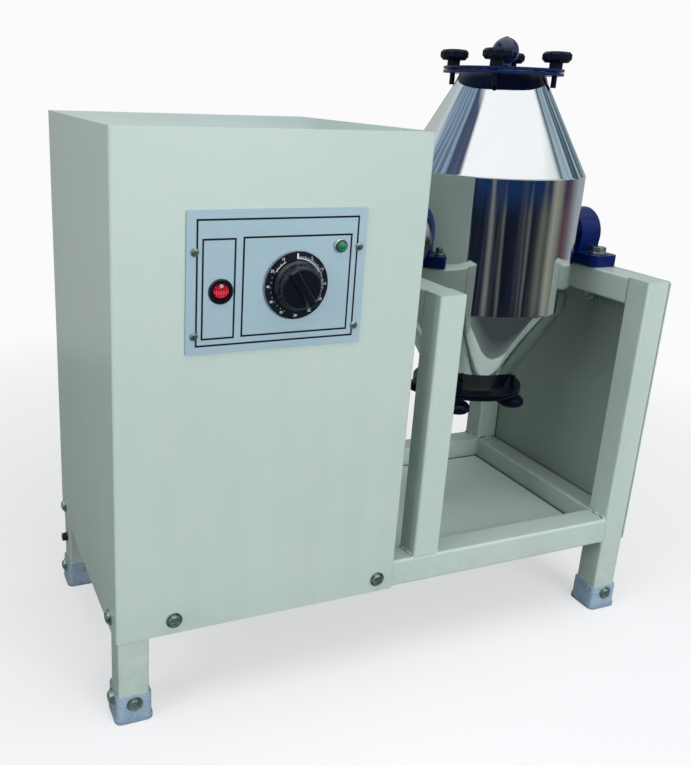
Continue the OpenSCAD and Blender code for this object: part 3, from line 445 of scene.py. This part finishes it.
def merged(node):  # a CAD node's mesh as joined faces
    bm = bmesh.new()
    bm.from_mesh(nodes[node].data)
    bmesh.ops.remove_doubles(bm, verts=bm.verts, dist=0.00001)
    bmesh.ops.dissolve_limit(bm, angle_limit=math.radians(0.5), verts=bm.verts, edges=bm.edges)
    return bm


def softened(node, finish, width, angle=28, segments=2, smooth=32):  # a CAD node with soft edges
    bm = merged(node)
    softEdges(bm, width, angle, segments)
    words = node.split("_")
    name = words[0] + "".join(word.capitalize() for word in words[1:])
    newPiece(name, bm, finish, nodes[node]["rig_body"], (node,), smooth)


def spun(profile, centre=(0, 0, 0), axis="z", steps=96, rounds=None):
    # a closed profile of (radius, height) turned round an axis; rounds gives some corners a radius
    bm = bmesh.new()
    verts = [bm.verts.new((radius, 0, height)) for radius, height in profile]
    for one, other in zip(verts, verts[1:] + verts[:1]):
        if one.co.x or other.co.x:
            bm.edges.new((one, other))
    for corner, (radius, segments) in (rounds or {}).items():
        bmesh.ops.bevel(bm, geom=[verts[corner]], offset=radius, offset_type="OFFSET", segments=segments,
                        profile=0.5, affect="VERTICES", clamp_overlap=False, material=-1)
    bmesh.ops.spin(bm, geom=bm.verts[:] + bm.edges[:], cent=(0, 0, 0), axis=(0, 0, 1), angle=math.tau,
                   steps=steps, use_merge=True, use_duplicate=False)
    bmesh.ops.remove_doubles(bm, verts=bm.verts, dist=0.0000005)
    bmesh.ops.dissolve_degenerate(bm, edges=bm.edges, dist=0.0000005)
    bmesh.ops.recalc_face_normals(bm, faces=bm.faces)
    bmesh.ops.transform(bm, matrix=Matrix.Translation(centre) @ turned[axis], verts=bm.verts)
    return bm


def block(size, place, bevel=0.0, segments=2):  # a box with soft edges, its middle at its place
    bm = bmesh.new()
    bmesh.ops.create_cube(bm, size=1)
    bmesh.ops.scale(bm, vec=size, verts=bm.verts)
    if bevel:
        softEdges(bm, bevel, segments=segments)
    bmesh.ops.translate(bm, vec=place, verts=bm.verts)
    return bm


def swung(bm, degrees):  # turned clockwise about the origin, as a clock's hand is
    bmesh.ops.rotate(bm, cent=(0, 0, 0), matrix=Matrix.Rotation(math.radians(-degrees), 3, "Z"),
                     verts=bm.verts)
    return bm


def addInto(bm, other):  # puts another shape into the first
    mesh = bpy.data.meshes.new("passing")
    other.to_mesh(mesh)
    other.free()
    bm.from_mesh(mesh)
    bpy.data.meshes.remove(mesh)


def figures(words, size, place, depth):  # flat figures, laid on the XY plane
    curve = bpy.data.curves.new("figures", "FONT")
    curve.body = words
    curve.size = size
    curve.align_x, curve.align_y = "CENTER", "CENTER"
    curve.extrude = depth
    curve.resolution_u = 3
    holder = bpy.data.objects.new("figures", curve)
    mesh = bpy.data.meshes.new_from_object(holder)
    bm = bmesh.new()
    bm.from_mesh(mesh)
    bmesh.ops.translate(bm, vec=place, verts=bm.verts)
    bpy.data.objects.remove(holder)
    bpy.data.curves.remove(curve)
    bpy.data.meshes.remove(mesh)
    return bm


for node in ("right_posts", "mid_posts", "left_legs", "long_base_rails", "short_base_rails", "bearing_rails"):
    softened(node, "paint", 0.0005)
softened("base_plate", "basePaint", 0.0004)
softened("side_panel", "panelPaint", 0.0004)
softened("cabinet_cover", "paint", 0.0005)
softened("foot_caps", "milk", 0.0008, segments=3)
softened("frame_bolts", "zinc", 0.0004)
softened("cable_gland", "black", 0.0005)

bead = {"width": 0.0052, "slender": 0.0045, "corner": 0.004, "pitch": 0.0013, "ripple": 0.16, "swell": 0.03,
        "tip": 0.3, "body": 0.5, "sides": 10, "seed": 7}
random.seed(bead["seed"])


def weldBead(bm, start, end, width=bead["width"]):  # rippled rings drawn along a seam
    start, end = Vector(start), Vector(end)
    count = round((end - start).length / bead["pitch"])
    step = (end - start) / count
    facing = step.to_track_quat("Z", "Y").to_matrix().to_4x4()
    radius, middle = width * bead["tip"], start.copy()
    made = bmesh.ops.create_circle(bm, cap_ends=True, segments=bead["sides"], radius=radius,
                                   matrix=Matrix.Translation(start) @ facing)
    face = made["verts"][0].link_faces[0]
    for ring in range(count):
        grown = bmesh.ops.extrude_face_region(bm, geom=[face])["geom"]
        face = next(g for g in grown if isinstance(g, bmesh.types.BMFace))
        verts = [g for g in grown if isinstance(g, bmesh.types.BMVert)]
        bmesh.ops.translate(bm, vec=step, verts=verts)
        middle = middle + step
        share = bead["tip"]
        if ring < count - 1:
            share = bead["body"] + bead["ripple"] * (random.random() - 0.5) + (ring % 3) * bead["swell"]
        bmesh.ops.scale(bm, vec=(share * width / radius,) * 3, space=Matrix.Translation(-middle), verts=verts)
        radius = share * width


# heights, the long rails' middles, and the ends of the seams along x
seam = {"deck": 0.12675, "low": 0.095, "rail": 0.3936, "longRails": (-0.123425, 0.140825), "half": 0.0135,
        "feet": (0.0134, 0.0443, 0.2894), "outer": 0.2894, "midY": 0.0087, "inner": 0.1159,
        "rightPost": (0.2925, 0.3190), "midPost": (0.0163, 0.0415), "upright": (0.2901, 0.1, 0.124)}
deck, low, rail, half = seam["deck"], seam["low"], seam["rail"], seam["half"]
welds = bmesh.new()
for y in seam["longRails"]:
    for x in seam["feet"]:
        weldBead(welds, (x, y - half, deck), (x, y + half, deck))
    for x in (seam["outer"], -seam["outer"]):
        weldBead(welds, (x, y - half, low), (x, y + half, low))
for side in (-1, 1):
    y = seam["midY"] + side * seam["inner"]
    x0, x1 = seam["rightPost"]
    weldBead(welds, (x0, y, deck), (x1, y, deck))
    x, bottom, top = seam["upright"]
    weldBead(welds, (x, y, bottom), (x, y, top), bead["corner"])
    for x2, x3 in (seam["midPost"], seam["rightPost"]):
        weldBead(welds, (x2, y, rail), (x3, y, rail), bead["slender"])
    weldBead(welds, (-x1, y, deck), (-x0, y, deck))
bmesh.ops.recalc_face_normals(welds, faces=welds.faces)
newPiece("weldBeads", welds, "weld", "frame", smooth=60)
print("frame and cabinet dressed")

front = controls["front"]
softened("control_plate", "plate", 0.0003)
softened("plate_screws", "zinc", 0.0003)
softened("rocker_housing", "black", 0.0005, segments=3)
softened("timer_body", "cream", 0.0008)
softened("lamp_bezel", "chrome", 0.0004)

# the paddle's two flats lean from its middle; pivot and proud are its depths behind and before the plate
rocker = {"radius": 0.0069, "pivot": 0.005, "proud": 0.0018, "lean": 8, "ribs": 7, "pitch": 0.0019,
          "ribWidth": 0.0009, "ribHeight": 0.0007, "ribEdge": 0.00025, "ribShare": 0.94, "ribLift": 0.0001,
          "margin": 0.0004, "markIn": 0.0009, "markOut": 0.0014, "markThick": 0.0003, "markUp": 0.0043,
          "markLift": 0.0009}
paddle = merged("rocker_button")
softEdges(paddle, 0.0003)
newPiece("rockerPaddle", paddle, "red", "rocker", ("rocker_button",))
lean, reach = math.radians(rocker["lean"]), rocker["pivot"] + rocker["proud"]
middle, height = controls["rocker"]
crown = (Matrix.Translation((middle, front + rocker["pivot"], height))
         @ Matrix.Rotation(math.pi / 2 - lean, 4, "X"))
ribs = bmesh.new()
for number in range(rocker["ribs"]):
    across = (number - (rocker["ribs"] - 1) / 2) * rocker["pitch"]
    half = math.sqrt(rocker["radius"] ** 2 - across ** 2) - rocker["margin"]
    above = reach + half / 2 * math.tan(lean) + rocker["ribLift"]
    for side in (-1, 1):
        rib = block((rocker["ribWidth"], half * rocker["ribShare"], rocker["ribHeight"]), (0, 0, 0),
                    rocker["ribEdge"])
        spot = Matrix.Translation((across, side * half / 2, above))
        bmesh.ops.transform(rib, matrix=crown @ spot @ Matrix.Rotation(side * lean, 4, "X"), verts=rib.verts)
        addInto(ribs, rib)
newPiece("rockerRibs", ribs, "red", "rocker")
inside, outside, thick = rocker["markIn"], rocker["markOut"], rocker["markThick"]
offMark = spun([(inside, 0), (outside, 0), (outside, thick), (inside, thick)], steps=32)
spot = Matrix.Translation((0, rocker["markUp"], reach + rocker["markLift"]))
bmesh.ops.transform(offMark, matrix=crown @ spot @ Matrix.Rotation(lean, 4, "X"), verts=offMark.verts)
newPiece("rockerOffMark", offMark, "mark", "rocker")

lamp = {"radius": 0.00465, "skirt": 0.0018, "dome": 0.0048, "shoulder": 0.8, "rise": 0.7, "inBezel": 0.0015}
radius, skirt, dome = lamp["radius"], lamp["skirt"], lamp["dome"]
middle, height = controls["lamp"]
newPiece("lampLens", spun([(0, 0), (radius, 0), (radius, skirt),
                           (radius * lamp["shoulder"], skirt + dome * lamp["rise"]), (0, skirt + dome)],
                          (middle, front - lamp["inBezel"], height), "-y", 48,
                          {2: (0.0012, 4), 3: (0.0022, 6)}),
         "green", "frame", ("lamp_lens",), 60)

timer = {"radius": 0.032, "card": 0.0026, "rimWidth": 0.0008, "rimHeight": 0.0029}
middle, height = controls["timer"]
rim, card = timer["radius"] - timer["rimWidth"], timer["card"]
newPiece("timerDial", spun([(0, 0), (rim, 0), (rim, card), (0, card)], (middle, front, height), "-y", 96,
                           {2: (0.0004, 3)}),
         "dial", "frame", ("timer_dial",))
newPiece("timerRim", spun([(rim, 0), (timer["radius"], 0), (timer["radius"], timer["rimHeight"]),
                           (rim, timer["rimHeight"])], (middle, front, height), "-y", 96, {2: (0.0003, 3)}),
         "steel", "frame")

# fine ticks run clockwise from twelve o'clock, coarse ones on the left; arcs are (from, to) in degrees
dial = {"numbers": 12, "numberStep": 5, "numberRing": 0.0286, "numberSize": 0.0034, "numberDepth": 0.00004,
        "ring": 0.0254, "fine": 46, "fineSweep": 150, "fineWidth": 0.00036, "long": 0.0026, "short": 0.0016,
        "coarse": 12, "coarseFrom": 205, "coarseSweep": 125, "coarseTick": (0.0003, 0.0012),
        "zeroTick": (0.0016, 0.0046), "zeroLift": 0.0017, "thick": 0.00006, "arcs": ((-58, -28), (2, 62)),
        "arcGap": 0.0002, "arcWidth": 0.0006}
marks = bmesh.new()
ring, thick = dial["ring"], dial["thick"]
for number in range(dial["numbers"]):
    angle = math.tau * number / dial["numbers"]
    addInto(marks, figures(str(number * dial["numberStep"]), dial["numberSize"],
                           (dial["numberRing"] * math.sin(angle), dial["numberRing"] * math.cos(angle), 0),
                           dial["numberDepth"]))
for number in range(dial["fine"] + 1):
    long = dial["long"] if number % 5 == 0 else dial["short"]
    addInto(marks, swung(block((dial["fineWidth"], long, thick), (0, ring + long / 2, 0)),
                         dial["fineSweep"] * number / dial["fine"]))
for number in range(dial["coarse"] + 1):
    wide, long = dial["coarseTick"]
    addInto(marks, swung(block((wide, long, thick), (0, ring + long / 2, 0)),
                         dial["coarseFrom"] + dial["coarseSweep"] * number / dial["coarse"]))
addInto(marks, block(dial["zeroTick"] + (thick,), (0, ring + dial["zeroLift"], 0)))
for first, last in dial["arcs"]:
    arc = bmesh.new()
    ends = [arc.verts.new((0, ring - dial["arcGap"] - wide, thick / 2)) for wide in (0, dial["arcWidth"])]
    edge = arc.edges.new(ends)
    swung(arc, first)
    bmesh.ops.spin(arc, geom=ends + [edge], cent=(0, 0, 0), axis=(0, 0, -1), angle=math.radians(last - first),
                   steps=24, use_duplicate=False)
    bmesh.ops.recalc_face_normals(arc, faces=arc.faces)
    for face in arc.faces:
        if face.normal.z < 0:
            face.normal_flip()
    addInto(marks, arc)
bmesh.ops.transform(marks, matrix=Matrix.Translation((middle, front - card, height)) @ turned["-y"],
                    verts=marks.verts)
newPiece("dialMarks", marks, "mark", "frame", smooth=20, weigh=False)

# steps are (in from the edge, height); the fin narrows from its middle height to its top
grip = {"radius": 0.0235, "above": 0.0035, "steps": ((0, 0.0026), (0.0022, 0.0042), (0.0036, 0.0112),
                                                     (0.0062, 0.0126)),
        "top": 0.0130, "lean": -33, "fin": (0.0166, 0.0415, 0.0114), "finTop": (0.42, 0.93, 1),
        "finEdge": 0.0011, "knurls": 48, "knurl": (0.0011, 0.0009, 0.0060), "knurlIn": 0.0030,
        "knurlUp": 0.0074, "pointer": (0.0011, 0.0105, 0.0002), "pointerAt": (0, 0.0128, 0.01715)}
radius = grip["radius"]
onGrip = Matrix.Translation((middle, front - grip["above"], height)) @ turned["-y"]
knob = spun([(0, 0), (radius, 0)] + [(radius - step, up) for step, up in grip["steps"]] + [(0, grip["top"])],
            rounds={1: (0.0004, 2), 2: (0.0008, 3), 3: (0.0010, 3), 4: (0.0012, 4), 5: (0.0012, 4)})
finHeight = grip["fin"][2]
fin = block(grip["fin"], (0, 0, finHeight))
bmesh.ops.scale(fin, vec=grip["finTop"], verts=[vert for vert in fin.verts if vert.co.z > finHeight])
softEdges(fin, grip["finEdge"], segments=3)
addInto(knob, swung(fin, grip["lean"]))
for number in range(grip["knurls"]):
    addInto(knob, swung(block(grip["knurl"], (0, radius - grip["knurlIn"], grip["knurlUp"]), 0.0003, 1),
                        360 * number / grip["knurls"]))
bmesh.ops.transform(knob, matrix=onGrip, verts=knob.verts)
newPiece("timerKnob", knob, "black", "timer", ("timer_knob",), 34)
pointer = swung(block(grip["pointer"], grip["pointerAt"], 0.00008), grip["lean"])
bmesh.ops.transform(pointer, matrix=onGrip, verts=pointer.verts)
newPiece("timerPointer", pointer, "knob", "timer")
print("controls made")

softened("bearing_housings", "blue", 0.0016, angle=34, segments=3, smooth=40)
driveEdges = {"bearing_outer_rings": ("steel", 0.0004), "bearing_inner_rings": ("steel", 0.0004),
              "grease_nipples": ("brass", 0.0002), "bearing_bolts": ("zinc", 0.0005),
              "trunnion_shafts": ("steel", 0.0008), "large_pulley": ("iron", 0.0005),
              "small_pulley": ("iron", 0.0005), "output_shaft": ("steel", 0.0005),
              "worm_wheel": ("brass", 0.0008), "gearbox_housing": ("grey", 0.002),
              "gearbox_riser": ("grey", 0.001), "gearbox_bolts": ("zinc", 0.0004),
              "motor_shell": ("motor", 0.0006), "motor_stator": ("copper", 0.0008),
              "motor_rotor": ("steel", 0.0006), "motor_fan": ("black", 0.0004),
              "fan_cover": ("motor", 0.0008), "run_capacitor": ("white", 0.001),
              "terminal_block": ("cream", 0.0006), "drive_belt": ("rubber", 0.0004)}
for node, (finish, width) in driveEdges.items():
    softened(node, finish, width)
print("bearings and drive dressed")

# heights are up from the vessel's middle; the lower half mirrors the upper
vessel = {"centre": (0.16725, 0.0087, 0.4583), "radius": 0.106, "wall": 0.002, "half": 0.0755, "knee": 0.0767,
          "coneTop": 0.173, "shoulder": 0.0525, "collar": 0.184, "neck": 0.048, "top": 0.187, "steps": 192,
          "kneeRound": (0.0011, 5), "neckRound": (0.006, 6)}
centre, wall, wide, half = (vessel[key] for key in ("centre", "wall", "radius", "half"))
newPiece("vesselBody", spun([(wide - wall, -half), (wide, -half), (wide, half), (wide - wall, half)], centre,
                            steps=vessel["steps"]),
         "mirror", "vessel", ("vessel_cylinder",), weigh=False)
outerWall = [(wide, half), (wide, vessel["knee"]), (vessel["shoulder"], vessel["coneTop"]),
             (vessel["neck"], vessel["collar"]), (vessel["neck"], vessel["top"])]
innerWall = [(radius - wall, up) for radius, up in reversed(outerWall)]
coneRounds = {1: vessel["kneeRound"], 2: vessel["neckRound"], 7: vessel["neckRound"], 8: vessel["kneeRound"]}
for name, node, axis in (("upperCone", "upper_cone", "z"), ("lowerCone", "lower_cone", "-z")):
    newPiece(name, spun(outerWall + innerWall, centre, axis, vessel["steps"], coneRounds), "mirror", "vessel",
             (node,), weigh=False)
softened("neck_flanges", "navy", 0.0004)
softened("lid_gaskets", "silicone", 0.0003)
softened("top_lid", "navy", 0.0005)
softened("bottom_lid", "navy", 0.0005)

# a ball on a short waisted stem, its heights up from the lid
handle = {"onLid": 0.1912, "foot": 0.0105, "stem": 0.0080, "stemTop": 0.003, "waist": 0.0074,
          "waistTop": 0.0055, "ball": 0.016, "low": (0.86, 0.0096), "middle": 0.0180, "high": (0.72, 0.0115),
          "steps": 64}
ball, middle = handle["ball"], handle["middle"]
newPiece("lidHandle", spun([(0, 0), (handle["foot"], 0), (handle["stem"], handle["stemTop"]),
                            (handle["waist"], handle["waistTop"]), (ball * handle["low"][0], handle["low"][1]),
                            (ball, middle), (ball * handle["high"][0], middle + handle["high"][1]),
                            (0, middle + ball)],
                           Vector(centre) + Vector((0, 0, handle["onLid"])), "z", handle["steps"],
                           {1: (0.0008, 3), 3: (0.0016, 4), 4: (0.0045, 6), 5: (0.0055, 8), 6: (0.0062, 8)}),
         "ball", "top_lid", ("lid_handle",), 70)
for end in ("top", "bottom"):
    for number in range(1, 5):
        softened("%s_knob_%d" % (end, number), "knob", 0.0009, segments=3)
print("vessel made")

# near and far bound the ring where the floor's shadow gives way to plain white
stage = {"floorRadius": 9.0, "floorDrop": 0.0004, "white": 0.965, "near": 0.55, "far": 1.3,
         "shadowShare": 0.45, "wallRadius": 1.28, "wallHeight": 0.66, "steps": 96}
paper = {"plain": (0.9, 0.9, 0.9), "bounce": (0.30, 0.31, 0.31), "mirroredFar": (0.24, 0.28, 0.27),
         "mirroredNear": (0.05, 0.065, 0.06), "nearTo": -0.19, "fade": 0.07}


def lookedAt(f, *rays):  # 1 for a ray of one of these kinds
    path = f.node("LightPath").socket.node
    share = Value(f, path.outputs[rays[0]])
    for ray in rays[1:]:
        share = share.math("MAXIMUM", Value(f, path.outputs[ray]))
    return share


def stagePaper():
    f = Finish("stagePaper")
    x, y, z = f.axes()
    away = (x * x + y * y).math("SQRT")
    far = away.over((stage["near"] + stage["far"]) / 2, stage["far"] - stage["near"])
    share = far.math("MULTIPLY_ADD", stage["shadowShare"], 1 - stage["shadowShare"])
    glow = f.node("Emission", inputs={"Color": (stage["white"],) * 3 + (1,), "Strength": 1.0})
    shade = f.mix(lookedAt(f, "Is Diffuse Ray"), paper["plain"], paper["bounce"])
    mirrored = f.mix(y.over(paper["nearTo"], paper["fade"]), paper["mirroredNear"], paper["mirroredFar"])
    shade = f.mix(lookedAt(f, "Is Glossy Ray"), shade, mirrored)
    return f.end(f.node("MixShader", inputs={0: share * lookedAt(f, "Is Camera Ray", "Is Transmission Ray"),
                                             1: f.node("BsdfDiffuse", inputs={"Color": shade}), 2: glow}))


# the curtains' colours round the room, from the left through the front to the right
dark, deep = (0.006, 0.010, 0.018), (0.010, 0.014, 0.030)
curtain = {"blue": (0.010, 0.030, 0.10), "fold": (0.07, 0.08, 0.09), "foot": (0.030, 0.022, 0.024), "stops": (
    (0.0, (0.50, 0.53, 0.52)), (0.080, (0.30, 0.36, 0.32)), (0.096, (0.16, 0.20, 0.18)), (0.102, dark),
    (0.152, deep), (0.158, (0.10, 0.105, 0.11)), (0.166, (0.20, 0.205, 0.20)), (0.175, (0.09, 0.095, 0.10)),
    (0.181, dark), (0.196, dark), (0.201, (0.05, 0.055, 0.06)), (0.208, (0.13, 0.135, 0.14)), (0.214, dark),
    (0.262, deep), (0.272, dark), (0.280, (0.09, 0.095, 0.11)), (0.284, dark), (0.298, (0.13, 0.13, 0.13)),
    (0.303, dark), (0.324, (0.03, 0.035, 0.04)), (0.343, (0.13, 0.14, 0.12)), (0.362, (0.07, 0.08, 0.07)),
    (0.385, (0.30, 0.31, 0.27)), (0.410, (0.20, 0.21, 0.18)), (0.435, (0.10, 0.05, 0.07)),
    (0.465, (0.15, 0.10, 0.11)), (0.490, (0.20, 0.24, 0.26)), (0.52, (0.34, 0.38, 0.40)),
    (1.0, (0.40, 0.43, 0.43)))}


def curtainWall():  # dark curtains with gaps of daylight, seen only in the polished steel
    f = Finish("curtainWall")
    x, y, z = f.axes()
    sway = f.noise(2.2, 2) * 0.10 - 0.05
    angle = y.math("ARCTAN2", x) / math.tau + 0.5 + sway * 0.12 + (z - 0.33) * 0.04
    wall = f.node("ValToRGB", {"stops": curtain["stops"]}, {0: angle})
    bright = f.split(wall)[0]
    unlit = bright.under(0.12, 0.1)
    shade = f.mix(z.over(0.375, 0.05) * unlit, wall, curtain["blue"])
    folds = f.noise(6, 4, 0.75, (1, 1, 0.16)).over(0.56, 0.16)
    shade = f.mix(folds * unlit * 0.4, shade, curtain["fold"])
    shade = f.mix(z.under(0.09, 0.10) * bright.under(0.2, 0.2) * 0.7, shade, curtain["foot"])
    return f.end(f.node("Emission", inputs={"Color": shade, "Strength": 1.0}))


def onStage(name, bm, material):
    thing = placed(name, bm, material)
    return thing


floorMesh = bmesh.new()
bmesh.ops.create_circle(floorMesh, cap_ends=True, segments=stage["steps"], radius=stage["floorRadius"])
bmesh.ops.translate(floorMesh, vec=(0, 0, -stage["floorDrop"]), verts=floorMesh.verts)
onStage("stageFloor", floorMesh, stagePaper())

wallMesh = bmesh.new()
bmesh.ops.create_cone(wallMesh, cap_ends=False, segments=stage["steps"], radius1=stage["wallRadius"],
                      radius2=stage["wallRadius"], depth=stage["wallHeight"])
bmesh.ops.translate(wallMesh, vec=(0, 0, stage["wallHeight"] / 2), verts=wallMesh.verts)
stageWall = onStage("stageWall", wallMesh, curtainWall())
stageWall.location = (centre[0], centre[1], 0)
for rays in ("camera", "diffuse", "shadow", "transmission"):
    setattr(stageWall, "visible_" + rays, False)

# each lamp is its place, what it looks at, its size, power and colour
lamps = {"frontBox": ((0.4, -2.4, 0.82), (0, 0, 0.28), (1.6, 1.5), 46, (1.0, 1.0, 1.06)),
         "topBox": ((0.1, -0.3, 2.3), (0, 0, 0.3), (1.8, 1.5), 26, (1.0, 1.0, 1.06)),
         "leftBox": ((-2.2, -0.7, 1.2), (0, 0, 0.3), (1.2, 1.4), 22, (1.0, 1.0, 1.04))}
# the room that the steel mirrors: sky stops by height, pale and navy drapes on the left, a dim right
room = {"light": 0.20, "tint": (0.97, 1.0, 1.05), "drapePale": (0.24, 0.37, 0.50),
        "drapeNavy": (0.004, 0.028, 0.10), "rightDark": (0.04, 0.075, 0.11), "rightPale": (0.40, 0.52, 0.60),
        "sky": ((0.0, (0.46, 0.50, 0.50)), (0.42, (0.56, 0.60, 0.60)), (0.52, (0.80, 0.84, 0.86)),
                (0.62, (1.13, 1.14, 1.15)), (1.0, (1.15, 1.16, 1.16)))}


def studioWorld():
    world = bpy.data.worlds.new("studio")
    bpy.context.scene.world = world
    f = Finish("studio", world)
    x, y, z = f.split(f.node("TexCoord", out="Generated"))
    angle = y.math("ARCTAN2", x)
    sky = f.node("ValToRGB", {"stops": room["sky"]}, {0: z})
    streaks = f.node("TexNoise", inputs={"Vector": f.node("CombineXYZ", inputs={0: angle, 1: z * 0.15}),
                                         "Scale": 7.0, "Detail": 3.0, "Roughness": 0.7})
    bands = streaks.over(0.5, 0.14)
    leftward = (angle.over(1.75, 0.5) + angle.under(-3.02, 0.1)) * z.between(0.50, 0.80, 0.06)
    nearest = angle.over(2.86, 0.15) + angle.under(-3.0, 0.1)
    drapes = f.mix((bands * 0.75 + nearest * 0.9).math("MINIMUM", 1.0), room["drapePale"], room["drapeNavy"])
    shade = f.mix(leftward * 0.94, sky, drapes)
    rightward = angle.between(-0.45, 1.25, 0.16) * z.under(0.72, 0.08)
    shade = f.mix(rightward, shade, f.mix(bands, room["rightDark"], room["rightPale"]))
    plain = f.node("Background", inputs={"Color": (stage["white"],) * 3 + (1,), "Strength": 1.0})
    even = f.node("Background", inputs={"Color": room["tint"] + (1,), "Strength": room["light"]})
    shown = f.node("Background", inputs={"Color": shade, "Strength": 1.0})
    lit = f.node("MixShader", inputs={0: lookedAt(f, "Is Glossy Ray"), 1: even, 2: shown})
    direct = lookedAt(f, "Is Camera Ray", "Is Transmission Ray")
    f.end(f.node("MixShader", inputs={0: direct, 1: lit, 2: plain}))


def softbox(name, place, target, size, power, colour):
    light = bpy.data.lights.new(name, "AREA")
    light.shape = "RECTANGLE"
    light.size, light.size_y = size
    light.energy = power
    light.color = colour
    holder = bpy.data.objects.new(name, light)
    bpy.context.scene.collection.objects.link(holder)
    holder.location = place
    holder.visible_glossy = False
    holder.rotation_euler = (Vector(target) - Vector(place)).to_track_quat("-Z", "Y").to_euler()


studioWorld()
for name, settings in lamps.items():
    softbox(name, *settings)

view = {"place": (-0.4779, -0.8371, 0.6192), "yaw": 22.926, "pitch": 17.927, "roll": 2.295, "lens": 39.97,
        "shift": (0.112, -0.0281), "clip": (0.02, 50)}
yaw, pitch, roll = (math.radians(view[key]) for key in ("yaw", "pitch", "roll"))
ahead = Vector((math.sin(yaw) * math.cos(pitch), math.cos(yaw) * math.cos(pitch), -math.sin(pitch)))
right = Vector((math.cos(yaw), -math.sin(yaw), 0))
up = right.cross(ahead)
right, up = right * math.cos(roll) + up * math.sin(roll), up * math.cos(roll) - right * math.sin(roll)
lens = bpy.data.cameras.new("photoCamera")
lens.lens = view["lens"]
lens.shift_x, lens.shift_y = view["shift"]
lens.clip_start, lens.clip_end = view["clip"]
camera = bpy.data.objects.new("photoCamera", lens)
bpy.context.scene.collection.objects.link(camera)
camera.matrix_world = Matrix.Translation(view["place"]) @ Matrix((right, up, -ahead)).transposed().to_4x4()
bpy.context.scene.camera = camera
bpy.context.scene.view_settings.view_transform = "Standard"
print("stage set")
